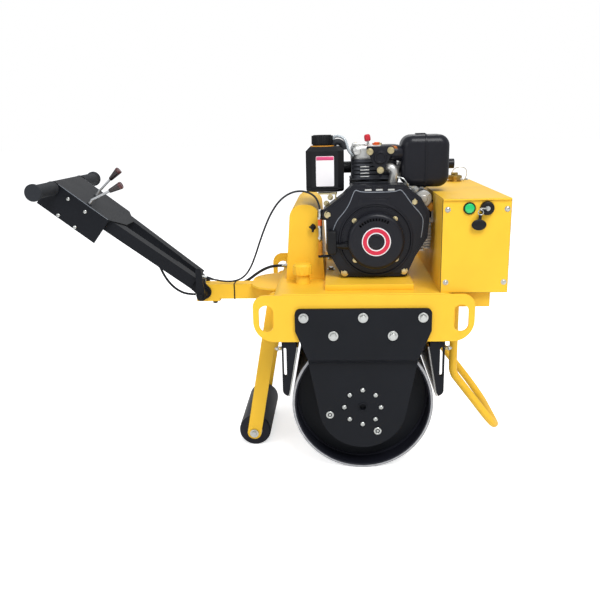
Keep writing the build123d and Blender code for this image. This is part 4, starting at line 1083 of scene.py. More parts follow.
@dataclass
class Handle:
    """Fasteners, knobs, grips and trim of the folding handle.

    Places are given along the handle from the pivot, across the machine, and square to the slope.

    Attributes:
        slope: Degrees that the handle climbs.
        side_bolts: Places of the control box's bolts on each side, along and square to the slope.
        box: The control box's near and far end, its top and its half width.
        bar: Place of the handlebar, along and square to the slope.
        bar_half: How far the grips reach from the centre plane.
        bar_r: The handlebar's radius.
        grip: Radius and length of a grip.
        flange: Radius and thickness of its end flange.
        knob: Length of a knob, and its radius at the neck and at its widest.
        levers: For each lever, y, then its bend and its knob's end.
        lug: Where the pivot's sleeve starts, from the centre plane.
        clamp: Where the clamp lies, from the centre plane, and its thickness.
    """

    slope: float = 37.5
    side_bolts: tuple = ((515.0, 15.0), (450.0, 13.0), (514.0, -48.0), (451.0, -49.0))
    box: tuple[float, float, float, float] = (374.0, 590.0, 36.0, 110.0)
    bar: tuple[float, float] = (571.0, 15.0)
    bar_half: float = 252.0
    bar_r: float = 16.0
    grip: tuple[float, float] = (21.0, 132.0)
    flange: tuple[float, float] = (26.0, 8.0)
    knob: tuple[float, float, float] = (45.0, 6.5, 12.0)
    levers: tuple = ((24.0, (478.0, 56.0), (461.0, 156.0)), (-94.0, (456.0, 52.0), (404.0, 150.0)))
    lug: float = 34.0
    clamp: tuple[float, float] = (86.0, 10.0)

    def place(self) -> Matrix:
        """Finds the handle's own axes, with X down its slope, at the pivot."""
        pivot = middle("pivot_bolt")
        turn = Matrix.Rotation(radians(self.slope), 4, "Y")
        return Matrix.Translation((pivot.x, 0.0, pivot.z)) @ turn

    def box_fasteners(self) -> None:
        """Puts the domed bolts on the control box, and grey strips along its top edges as painted highlight.
        """
        near, far, top, half = self.box
        bolts = Workpiece("control_box_bolts", self.place())
        edges = Workpiece("control_box_highlight_strips", self.place())
        for way, facing in SIDES:
            for along, up in self.side_bolts:
                bolts.dome(6.2, 4.2, facing.at(-along, way * half, up), 1.8)
            # Grey strips along the box's top edges: painted highlight where the folded edges catch light.
            run = far - near - 30.0
            edges.block((run, 1.6, 1.0), facing.at(-(near + run / 2 + 4.0), way * half, top - 0.8), 0.4)
        bolts.done(ZINC, "handle", "zinc")
        edges.done(PAINTED_EDGE_HIGHLIGHT, "handle", "black_paint")

    def knobs(self) -> None:
        """Turns the tapered knobs of the control levers."""
        length, neck, wide = self.knob
        seam = length - 9.0
        lower, caps = Workpiece("lever_knob_shaded_bodies", self.place()), Workpiece("lever_knob_caps", self.place())
        collars = Workpiece("lever_collars", self.place())
        for y, bend, tip in self.levers:
            way = Vector((bend[0] - tip[0], 0.0, tip[1] - bend[1]))
            foot = Vector((-tip[0], y, tip[1])) - way.normalized() * length
            seat = Matrix.Translation(foot) @ way.to_track_quat("Z", "Y").to_matrix().to_4x4()
            body = [(4.0, 0.0), (neck, 0.0), (neck + 0.4, 2.0), (wide - 0.6, seam), (4.0, seam), (4.0, 0.0)]
            lower.turned(body, seat, 32)
            cap = [(0.0, seam), (wide - 0.6, seam), (wide, length - 7.0), (wide, length - 2.0)]
            cap += [(wide - 1.8, length), (wide - 4.0, length - 0.6), (0.0, length - 1.6)]
            caps.turned(cap, seat, 32)
        for y, bend, _ in self.levers:
            seat = Facing.UP.at(-bend[0], y, self.box[2])
            collars.turned([(4.2, 0.0), (9.0, 0.0), (8.4, 1.6), (5.6, 3.0), (4.2, 3.0), (4.2, 0.0)], seat, 24)
        # The lower bodies take a nearly black copy of the red phenolic as painted shade.
        lower.done(KNOB_SHADED, "handle", "dark_red_plastic", "lever_knobs")
        caps.done(KNOB_RED, "handle", "dark_red_plastic", "lever_knobs")
        collars.done(RUBBER, "handle", "black_rubber")

    def grips(self) -> None:
        """Turns the ribbed rubber grips with their end flanges."""
        piece = Workpiece("rubber_grips", self.place())
        radius, length = self.grip
        rim, thick = self.flange
        ribs = 12
        pitch = (length - 24.0) / ribs
        for way, facing in SIDES:
            seat = facing.at(-self.bar[0], way * (self.bar_half - length), self.bar[1])
            profile = [(self.bar_r, 0.0), (radius + 1.0, 0.0), (radius + 1.6, 2.0), (radius + 1.0, 8.0)]
            for i in range(ribs):
                start = 12.0 + i * pitch
                profile += [(radius - 0.5, start), (radius, start + 1.5), (radius, start + pitch - 1.5)]
                profile += [(radius - 0.5, start + pitch)]
            profile += [(radius, length - 6.0), (rim - 1.5, length - 1.5), (rim, length + 1.0)]
            profile += [(rim, length + thick - 2.0), (rim - 2.0, length + thick), (0.0, length + thick)]
            profile += [(0.0, length - 2.0), (self.bar_r, length - 2.0), (self.bar_r, 0.0)]
            piece.turned(profile, seat, 40)
        piece.done(RUBBER, "handle", "black_rubber", "grips")

    def pivot_fittings(self) -> None:
        """Sets the sleeve, washers and end nut on the pivot bolt."""
        sleeve, nut = Workpiece("pivot_sleeve", self.place()), Workpiece("clamp_nut", self.place())
        outer, thick = self.clamp
        seat = Facing.RIGHT.at(0.0, -self.lug, 0.0)
        sleeve.ring(10.0, 19.0, 3.0, seat)
        sleeve.ring(10.0, 13.5, outer - self.lug - 6.0, lifted(seat, 3.0))
        sleeve.ring(10.0, 17.0, 3.0, lifted(seat, outer - self.lug - 3.0))
        nut.bolt(10.0, Facing.RIGHT.at(0.0, -outer - thick, 0.0), 12.5, 0.55)
        sleeve.done(BLACK_PAINT, "handle", "black_paint")
        nut.done(BLACK_PAINT, "handle", "black_paint")

    def build(self) -> None:
        """Makes every piece of the handle."""
        self.box_fasteners()
        self.knobs()
        self.grips()
        self.pivot_fittings()


@dataclass
class Engine:
    """Castings, sheet trim, fasteners and fittings of the engine.

    Places are in millimetres forward of the drum's axis, to the left, and above the ground.

    Attributes:
        axis: Crank axis, forward and up.
        shroud_face: Y of the shroud's raised panel, and of the rim round it.
        shroud_bolts: Places of the shroud's own bolts.
        recoil_bolts: Places of the recoil cover's bolts.
        recoil_face: Y of the recoil cover's flange and of its hub's face.
        ring: Inner and outer radius of its coloured ring.
        flange_points: Corners of the exhaust's triangular flange.
        flange_bolts: Places of its bolts.
        flange_y: Y of its back, and its thickness.
        head_face: Y of the cylinder head's right face.
        badge: Rear, front, lower and upper edge of the shroud's blank plate.
        notches: X of the lugs along the shroud's top.
        adjuster: Place of the throttle's adjuster, forward and to the left.
    """

    axis: tuple[float, float] = (43.0, 694.5)
    shroud_face: tuple[float, float] = (-190.0, -187.5)
    shroud_bolts: tuple = ((-99.0, 772.0), (157.0, 806.0), (-50.0, 594.0), (129.0, 598.0))
    recoil_bolts: tuple = ((-20.0, 753.0), (100.0, 757.0), (-18.0, 634.0), (104.0, 636.0))
    recoil_face: tuple[float, float] = (-194.0, -228.8)
    ring: tuple[float, float] = (24.4, 42.6)
    flange_points: tuple = ((14.0, 966.0), (104.0, 966.0), (60.0, 868.0))
    flange_bolts: tuple = ((28.0, 950.0), (91.0, 953.0), (60.0, 895.0))
    flange_y: tuple[float, float] = (-112.0, 6.0)
    head_face: float = -85.0
    badge: tuple[float, float, float, float] = (-9.0, 85.0, 791.0, 823.0)
    notches: tuple = (20.0, 53.0, 88.0)
    adjuster: tuple[float, float] = (-124.0, -152.0)

    def air_cleaner(self) -> None:
        """Makes the air cleaner's cap, its band and its blank plate."""
        foot, top = ends("air_cleaner_cap")
        x, y, radius = (foot.x + top.x) / 2, (foot.y + top.y) / 2, (top.x - foot.x) / 2
        cap = Workpiece("air_cleaner_cap_knurled")
        cap.rod(radius - 3.5, 7.0, Facing.UP.at(x, y, foot.z), 48)
        cap.knurled(radius, top.z - foot.z - 8.0, 30, 1.6, Facing.UP.at(x, y, foot.z + 6.0))
        cap.ring(12.0, radius - 5.0, 2.0, Facing.UP.at(x, y, top.z - 2.0), 48)
        cap.done(BLACK_PLASTIC, "frame", "black_plastic", "air_cleaner_cap")
        band = Workpiece("air_cleaner_band")
        band.ring(radius - 3.5, radius + 4.0, 3.6, Facing.UP.at(x, y, foot.z - 1.0), 48)
        band.done(AMBER_PLASTIC, "frame", "black_plastic")
        face = corner("air_cleaner").y
        plate, header = Workpiece("air_cleaner_blank_plate"), Workpiece("air_cleaner_plate_header")
        plate.plate(oblong(-134.0, -80.0, 852.0, 941.0), 0.6, Facing.RIGHT.at(0.0, face, 0.0), 3.0, 0.2)
        band_at = Facing.RIGHT.at(0.0, face - 0.55, 0.0)
        header.plate(oblong(-133.0, -81.0, 929.0, 940.0), 0.3, band_at, 2.0, 0.1)
        plate.done(WHITE_FILM, "frame", "black_plastic")
        header.done(PINK_FILM, "frame", "black_plastic")
        seam = Workpiece("air_cleaner_seam")
        low, high = ends("air_cleaner")
        seam.plate(oblong(low.x, high.x, low.y, high.y), 3.0, Facing.UP.at(0.0, 0.0, 844.0), 19.0, 1.0)
        seam.done(BLACK_PLASTIC, "frame", "black_plastic")
        line = [(-84, -84, 958), (-84, -84, 974), (-72, -84, 981), (-60, -82, 979)]
        line += [(-52, -80, 970), (-50, -80, 956)]
        piped("inlet_snorkel", line, 9.5, RUBBER)
        line = [(-84, -60, 978), (-82, -60, 995), (-66, -62, 998), (-48, -66, 990)]
        line += [(-40, -70, 970), (-34, -74, 948), (-20, -74, 938)]
        piped("breather_tube", line, 4.5, CLEAR_VINYL)
        bracket = Workpiece("air_cleaner_bracket")
        bracket.block((58.0, 5.0, 34.0), Facing.RIGHT.at(-100.0, -108.0, 829.0), 1.0)
        bracket.block((5.0, 34.0, 30.0), Facing.RIGHT.at(-76.0, -112.0, 812.0), 1.0)
        for bx, bz in ((-92.0, 818.0), (-68.0, 806.0), (-104.0, 800.0)):
            bracket.bolt(6.5, Facing.RIGHT.at(bx, -140.0, bz), 9.0)
            bracket.rod(3.0, 32.0, Facing.RIGHT.at(bx, -109.0, bz), 12)
        bracket.done(YELLOW_ZINC, "frame", "zinc")

    def rocker_top(self) -> None:
        """Fits the rocker cover's bolts, its gasket, the oil filler and the decompression lever."""
        low, high = ends("rocker_cover")
        bolts, gasket = Workpiece("rocker_cover_bolts"), Workpiece("rocker_cover_gasket")
        for x in (low.x + 16.0, high.x - 16.0):
            for y in (low.y + 18.0, high.y - 18.0):
                bolts.bolt(6.0, Facing.UP.at(x, y, high.z - 0.5), 8.5)
        head = corner("cylinder_head", far=True)
        for y in (head.y - 16.0, corner("cylinder_head").y + 16.0):
            bolts.bolt(8.5, Facing.UP.at(head.x - 15.0, y, head.z), 11.0)
        outline = oblong(low.x, high.x, low.y, high.y)
        gasket.plate(outline, 2.0, Facing.UP.at(0.0, 0.0, low.z + 2.0), 25.0, 0.6)
        gasket.done(RUBBER, "frame", "black_rubber")
        rib = Workpiece("rocker_cover_ribs")
        for i in range(3):
            x = low.x + 30.0 + 22.0 * i
            seat = Facing.UP.at(x, (low.y + high.y) / 2, high.z - 1.0)
            rib.block((5.0, high.y - low.y - 44.0, 3.0), seat, 1.4)
        rib.done(CAST_ALUMINIUM, "frame", "cast_aluminium")
        slats = Workpiece("cowl_slats")
        for i in range(4):
            slats.block((28.0, 4.0, 6.0), Facing.RIGHT.at(14.0, self.head_face + 2.0, 874.0 + 10.0 * i), 1.2)
        slats.done(CAST_ALUMINIUM, "frame", "cast_aluminium")
        bolts.done(YELLOW_ZINC, "frame", "zinc")
        step = Workpiece("rocker_cover_step")
        step.block((40.0, 46.0, 9.0), Facing.UP.at(low.x + 24.0, low.y + 30.0, high.z - 3.0), 3.5)
        step.turned(
            [(0.0, 0.0), (13.0, 0.0), (12.0, 26.0), (9.0, 28.0), (0.0, 28.0)],
            Facing.RIGHT.at(low.x + 18.0, low.y + 4.0, high.z - 17.0),
            32,
        )
        step.done(CAST_ALUMINIUM, "frame", "cast_aluminium")
        cap = Workpiece("oil_filler_cap")
        cap.knurled(13.0, 7.0, 14, 1.4, Facing.UP.at(51.0, -58.0, high.z - 2.0))
        seat = Facing.UP.at(51.0, -58.0, high.z + 4.5)
        cap.turned([(0.0, 0.0), (8.0, 0.0), (7.0, 3.0), (0.0, 3.4)], seat, 28)
        cap.done(ORANGE_PLASTIC, "frame", "green_plastic")
        stem, knob = Workpiece("decompression_stem"), Workpiece("decompression_knob")
        lean = Matrix.Translation((29.0, -66.0, 944.0)) @ Matrix.Rotation(radians(-8), 4, "Y")
        post = [(0.0, 0.0), (8.0, 0.0), (8.0, 14.0), (5.0, 16.0), (5.0, 24.0), (3.4, 26.0)]
        stem.turned([*post, (3.4, 42.0), (0.0, 42.0)], lean, 24)
        stem.done(ZINC, "frame", "zinc")
        ball = [(0.0, 36.0), (6.5, 36.0), (9.5, 39.0), (10.0, 47.0), (9.0, 54.0), (6.0, 57.0), (0.0, 57.5)]
        knob.turned(ball, lean, 28)
        knob.done(RED_PLASTIC, "frame", "dark_red_plastic")

    def exhaust(self) -> None:
        """Makes the exhaust's flange, elbow, gasket and the muffler's fittings."""
        y, depth = self.flange_y
        flange, bolts = Workpiece("exhaust_flange"), Workpiece("exhaust_flange_bolts")
        flange.plate(list(self.flange_points), depth, Facing.RIGHT.at(0.0, y, 0.0), 9.0, 1.0)
        middle_x = sum(x for x, _ in self.flange_bolts) / 3
        middle_z = sum(z for _, z in self.flange_bolts) / 3
        flange.turned(
            [(0.0, 0.0), (20.0, 0.0), (18.0, 4.0), (14.0, 5.0), (12.0, 3.0), (0.0, 3.0)],
            Facing.RIGHT.at(middle_x, y - depth, middle_z),
            32,
        )
        gap = self.head_face - y
        for x, z in self.flange_bolts:
            seat = Facing.RIGHT.at(x, self.head_face, z)
            flange.turned([(0.0, 0.0), (8.5, 0.0), (7.0, gap), (0.0, gap)], seat, 24)
            bolts.bolt(8.2, Facing.RIGHT.at(x, y - depth, z), 10.5)
        flange.done(ENGINE_ENAMEL, "frame", "engine_black")
        bolts.done(YELLOW_ZINC, "frame", "zinc")
        gasket = Workpiece("exhaust_gasket")
        corners = [(88.0, 967.0), (113.0, 965.0), (104.0, 930.0)]
        gasket.plate(corners, 2.0, Facing.RIGHT.at(0.0, y + 1.0, 0.0), 8.0)
        gasket.done(COPPER, "frame", "brass")
        line = [(70, -74, 946), (94, -94, 948), (118, -90, 944), (148, -76, 938)]
        piped("exhaust_elbow", line, 24.0, ENGINE_ENAMEL)
        line = [(70, -84, 900), (92, -100, 904), (104, -100, 888), (102, -98, 866), (98, -94, 848)]
        piped("inlet_manifold", line, 15.0, CAST_ALUMINIUM)
        low, high = ends("muffler")
        centre = (low + high) / 2
        fittings = Workpiece("muffler_fittings")
        fittings.block((28.0, 44.0, 4.0), Facing.UP.at(centre.x - 12.0, centre.y, high.z - 3.0), 1.2)
        fittings.block((36.0, 46.0, 4.0), Facing.DOWN.at(centre.x - 30.0, centre.y, low.z + 3.0), 1.2)
        pipe = middle("tail_pipe")
        fittings.ring(14.0, 21.0, 3.0, Facing.FRONT.at(corner("tail_pipe").x, pipe.y, pipe.z))
        fittings.done(ENGINE_ENAMEL, "frame", "engine_black")
        stay = Workpiece("muffler_stay")
        stay.plate(
            [(132.0, 858.0), (152.0, 858.0), (178.0, 838.0), (172.0, 824.0), (140.0, 846.0)],
            3.0,
            Facing.RIGHT.at(0.0, -106.0, 0.0),
            3.0,
            0.6,
        )
        for x, z in ((142.0, 852.0), (168.0, 834.0)):
            stay.bolt(6.5, Facing.RIGHT.at(x, -109.0, z), 8.5)
        stay.done(ZINC, "frame", "zinc")
        line = [(150, -96, 826), (144, -114, 846), (134, -116, 866), (116, -110, 874), (96, -98, 868)]
        piped("injector_pipe", line, 3.0, ZINC)

    def shroud(self) -> None:
        """Trims the shroud with its ridge in painted highlight grey, notches, blank plate and bolts."""
        panel, rim = self.shroud_face
        bolts, badge = Workpiece("shroud_bolts"), Workpiece("shroud_blank_plate")
        for x, z in self.shroud_bolts:
            bolts.bolt(8.6, Facing.RIGHT.at(x, rim, z), 11.5, 0.6)
        bolts.done(YELLOW_ZINC, "frame", "zinc")
        left, right, low, high = self.badge
        badge.plate(oblong(left, right, low, high), 1.2, Facing.RIGHT.at(0.0, panel, 0.0), 3.0, 0.5)
        wide, mid, face = right - left, (left + right) / 2, panel - 1.2
        for z in (low + 4.0, high - 4.0):
            badge.block((wide - 8.0, 1.8, 1.0), Facing.RIGHT.at(mid, face, z), 0.3)
        seat = Facing.RIGHT.at(mid, face, (low + high) / 2)
        badge.block((wide - 22.0, (high - low) / 2, 0.5), seat, 0.2)
        badge.done(ENGINE_ENAMEL, "frame", "engine_black")
        notch, vent = Workpiece("shroud_lugs"), Workpiece("shroud_vents")
        for x in self.notches:
            notch.block((20.0, 7.0, 16.0), Facing.RIGHT.at(x, rim + 10.0, 851.0), 2.0)
            vent.block((20.0, 5.0, 3.0), Facing.RIGHT.at(x, panel + 2.0, 843.0), 0.8)
        notch.done(ENGINE_ENAMEL, "frame", "engine_black")
        vent.done(CAST_ALUMINIUM, "frame", "cast_aluminium")
        ridge = 1.3
        line = [
            (-88, panel, 700), (-84, panel, 742), (-40, panel, 790), (-22, panel, 838), (-16, panel, 844),
            (0, panel, 836), (100, panel, 836), (112, panel, 843), (122, panel, 838), (150, panel, 798),
            (176, panel, 770), (186, panel, 748), (178, panel, 700),
        ]
        # The ridge's bead is grey as painted highlight where the pressed ridge catches light.
        piped("shroud_ridge_highlight", line, ridge, PAINTED_EDGE_HIGHLIGHT)
        hood = Workpiece("shroud_hood_ring")
        x, z = self.axis
        outer = 112.0
        hood.turned(
            [(outer - 9.0, 0.0), (outer, 0.0), (outer - 2.0, 2.6), (outer - 6.0, 2.6), (outer - 9.0, 0.0)],
            Facing.RIGHT.at(x, panel, z),
            96,
        )
        hood.done(ENGINE_ENAMEL, "frame", "engine_black")

    def recoil(self) -> None:
        """Fits the recoil cover's bolts, coloured ring, hub and pull grip."""
        x, z = self.axis
        flange, recess = self.recoil_face
        bolts = Workpiece("recoil_bolts")
        for bx, bz in self.recoil_bolts:
            bolts.bolt(6.4, Facing.RIGHT.at(bx, flange, bz), 8.0, 0.6)
        bolts.done(YELLOW_ZINC, "frame", "zinc")
        inner, outer = self.ring
        white, red = Workpiece("recoil_ring_white"), Workpiece("recoil_ring_red")
        white.ring(inner, outer, 0.9, Facing.RIGHT.at(x, recess, z), 96)
        red.ring(inner + 3.4, outer - 3.0, 0.5, Facing.RIGHT.at(x, recess - 0.8, z), 96)
        white.done(WHITE_FILM, "frame", "black_plastic")
        red.done(RED_FILM, "frame", "black_plastic")
        hub = Workpiece("recoil_hub_cap")
        hub.turned(
            [(0.0, 0.0), (22.0, 0.0), (22.0, 0.8), (20.5, 2.0), (14.0, 2.4), (13.0, 1.4), (0.0, 1.4)],
            Facing.RIGHT.at(x, recess - 1.2, z),
            64,
        )
        hub.done(ENGINE_ENAMEL, "frame", "engine_black")
        low, high = ends("recoil_grip")
        centre = (low + high) / 2
        grip = Workpiece("pull_grip")
        size = (high.x - low.x + 4.0, high.z - low.z, high.y - low.y)
        grip.block(size, Facing.RIGHT.at(centre.x - 2.0, high.y, centre.z), 5.5)
        grip.turned(
            [(0.0, 0.0), (6.5, 0.0), (6.5, 14.0), (9.0, 18.0), (9.0, 42.0), (0.0, 42.0)],
            Facing.FRONT.at(high.x - 1.0, -203.0, 679.0),
            28,
        )
        grip.block((26.0, 24.0, 14.0), Facing.RIGHT.at(-36.0, -192.0, 679.0), 3.5)
        grip.done(BLACK_PLASTIC, "frame", "black_plastic", "recoil_grip")

    def throttle(self) -> None:
        """Makes the throttle's adjuster, its spring and the link to the governor."""
        x, y = self.adjuster
        top = corner("throttle_linkage", far=True).z
        low = corner("throttle_linkage").z
        barrel, spring = Workpiece("throttle_adjuster"), Workpiece("throttle_spring")
        seat = Facing.DOWN.at(x, y, top)
        barrel.turned(
            [
                (0.0, 0.0), (4.5, 0.0), (5.5, 2.0), (5.5, 22.0), (4.2, 24.0), (4.2, 58.0), (5.5, 60.0),
                (5.5, 92.0), (3.0, 96.0), (1.6, 98.0), (1.6, 144.0), (0.0, 144.0),
            ],
            seat,
            24,
        )
        for drop in (24.0, 50.0, 84.0):
            barrel.prism(6, 7.6, 7.0, lifted(seat, drop), 0.6)
        spring.coil(5.4, 1.7, 46.0, 11, Facing.DOWN.at(x, y, top - 96.0))
        sleeve = Workpiece("throttle_sleeve")
        sleeve.ring(4.2, 6.4, 20.0, lifted(seat, 31.0), 24)
        link = Workpiece("throttle_link")
        link.block((42.0, 8.0, 8.0), Facing.RIGHT.at(x + 14.0, y + 4.0, low + 4.0), 1.5)
        link.plate(
            [(x - 8.0, 752.0), (-92.0, 748.0), (-92.0, 786.0), (x - 8.0, 780.0)],
            3.0,
            Facing.RIGHT.at(0.0, y + 8.0, 0.0),
            5.0,
            0.6,
        )
        barrel.done(ZINC, "frame", "zinc", "throttle_linkage")
        spring.done(AMBER_PLASTIC, "frame", "zinc", "throttle_linkage")
        sleeve.done(ORANGE_PLASTIC, "frame", "zinc")
        link.done(ENGINE_ENAMEL, "frame", "zinc", "throttle_linkage")

    def electrics(self) -> None:
        """Fits the starter's end bell, the regulator's bolts and the wiring plug."""
        low, high = ends("starter_motor")
        x, z, radius = (low.x + high.x) / 2, (low.z + high.z) / 2, (high.x - low.x) / 2
        bell, through = Workpiece("starter_end_bell"), Workpiece("starter_bolts")
        bell.turned(
            [
                (0.0, 0.0), (radius, 0.0), (radius, 5.0), (radius - 3.0, 8.0), (12.0, 9.0), (10.0, 13.0),
                (0.0, 13.5),
            ],
            Facing.RIGHT.at(x, low.y, z),
            48,
        )
        bell.turned(
            [(0.0, 0.0), (radius - 2.0, 0.0), (radius - 5.0, 5.0), (10.0, 6.0), (0.0, 6.0)],
            Facing.LEFT.at(x, high.y, z),
            48,
        )
        for turn in (radians(40), radians(220)):
            place = Facing.RIGHT.at(x + 18.0 * cos(turn), low.y - 5.0, z + 18.0 * sin(turn))
            through.bolt(4.5, place, 6.0)
        bell.done(CAST_ALUMINIUM, "frame", "cast_aluminium")
        through.done(ZINC, "frame", "zinc")
        plug, boot = Workpiece("wiring_plug"), Workpiece("wiring_plug_boot")
        twist = Matrix.Rotation(radians(40), 4, "Z")
        plug.block((20.0, 22.0, 16.0), Facing.RIGHT.at(217.0, -92.0, 780.0) @ twist, 2.0)
        plug.done(AMBER_PLASTIC, "frame", "black_plastic")
        boot.block((13.0, 20.0, 12.0), Facing.RIGHT.at(229.0, -88.0, 794.0) @ twist, 2.5)
        boot.block((14.0, 24.0, 12.0), Facing.RIGHT.at(212.0, -90.0, 758.0), 3.0)
        boot.done(BLACK_PLASTIC, "frame", "black_plastic")
        fins = Workpiece("regulator_fins")
        fins.block((40.0, 84.0, 12.0), Facing.RIGHT.at(216.0, -58.0, 684.0), 1.5)
        for i in range(9):
            fins.block((38.0, 3.4, 13.0), Facing.RIGHT.at(216.0, -68.0, 648.0 + 9.0 * i), 0.9)
        fins.done(CAST_ALUMINIUM, "frame", "cast_aluminium")
        bolts = Workpiece("regulator_bolts")
        block, face = middle("voltage_regulator"), corner("voltage_regulator").y
        for up in (-15.0, 15.0):
            bolts.bolt(5.0, Facing.RIGHT.at(block.x - 12.0, face, block.z + up), 7.0)
        bolts.done(YELLOW_ZINC, "frame", "zinc")
        line = [(212, -90, 748), (212, -88, 730), (204, -80, 722), (186, -70, 718)]
        piped("starter_lead", line, 3.2, RUBBER)

    def governor(self) -> None:
        """Closes the gap beside the shroud with the governor's housing."""
        rear = corner("crankcase").x
        housing = Workpiece("governor_housing")
        reach = 46.0
        housing.block((reach, 128.0, 34.0), Facing.RIGHT.at(rear - reach / 2 + 1.0, -70.0, 704.0), 7.0)
        housing.turned(
            [(0.0, 0.0), (15.0, 0.0), (15.0, 3.0), (9.0, 5.0), (9.0, 9.0), (0.0, 9.5)],
            Facing.RIGHT.at(rear - 24.0, -104.0, 724.0),
            32,
        )
        for up in (652.0, 758.0):
            housing.bolt(5.5, Facing.RIGHT.at(rear - 34.0, -104.0, up), 7.0)
        housing.done(DARK_CAST, "frame", "cast_aluminium")

    def far_side(self) -> None:
        """Bolts the belt guard and the crankcase, and fits dipstick and drain plug."""
        low, guard = ends("belt_guard")
        x, span = (low.x + guard.x) / 2, (guard.x - low.x) / 2
        bolts, press = Workpiece("belt_guard_bolts"), Workpiece("belt_guard_pressing")
        mid, tall = (low.z + guard.z) / 2, guard.z - low.z
        for bx, bz in ((-0.7, 0.32), (0.7, 0.32), (-0.7, -0.36), (0.7, -0.36)):
            place = Facing.LEFT.at(x + bx * span * 0.98, guard.y, mid + bz * tall)
            bolts.dome(6.0, 4.0, place, 2.0)
        swage = [(24.0, 0.0), (34.0, 0.0), (32.0, 2.2), (26.0, 2.2), (24.0, 0.0)]
        for z in (low.z + span, guard.z - span):
            press.turned(swage, Facing.LEFT.at(x, guard.y, z), 64)
        press.done(BLACK_PAINT, "frame", "black_paint")
        bolts.done(ZINC, "frame", "zinc")
        case_low, case_high = ends("crankcase")
        case = Workpiece("crankcase_bolts")
        for bx in (case_low.x + 12.0, case_high.x - 12.0):
            for bz in (case_low.z + 20.0, (case_low.z + case_high.z) / 2, case_high.z - 40.0):
                case.bolt(7.0, Facing.LEFT.at(bx, case_high.y, bz), 9.0)
        case.done(YELLOW_ZINC, "frame", "zinc")
        stick = Workpiece("dipstick")
        stick.rod(11.0, 8.0, Facing.REAR.at(case_low.x, 60.0, 640.0), 28)
        stick.knurled(14.0, 10.0, 12, 1.5, Facing.REAR.at(case_low.x - 8.0, 60.0, 640.0))
        stick.done(ORANGE_PLASTIC, "frame", "black_plastic")
        drain = Workpiece("drain_plug")
        drain.bolt(9.0, Facing.REAR.at(case_low.x, 20.0, 596.0), 12.0)
        drain.done(ZINC, "frame", "zinc")
        ribs = Workpiece("crankcase_ribs")
        for i in range(5):
            y = case_low.y + 40.0 + 36.0 * i
            ribs.block((6.0, 120.0, 4.0), Facing.REAR.at(case_low.x, y, 672.0), 1.5)
        ribs.done(CAST_ALUMINIUM, "frame", "cast_aluminium")
        feet = Workpiece("engine_foot_bolts")
        base, top = ends("engine_base")
        for bx in (base.x + 16.0, top.x - 16.0):
            for by in (-60.0, 120.0):
                feet.bolt(9.5, Facing.UP.at(bx, by, top.z), 13.0)
        feet.done(ZINC, "frame", "zinc")

    def build(self) -> None:
        """Makes every piece of the engine."""
        self.air_cleaner()
        self.rocker_top()
        self.exhaust()
        self.shroud()
        self.recoil()
        self.throttle()
        self.electrics()
        self.governor()
        self.far_side()


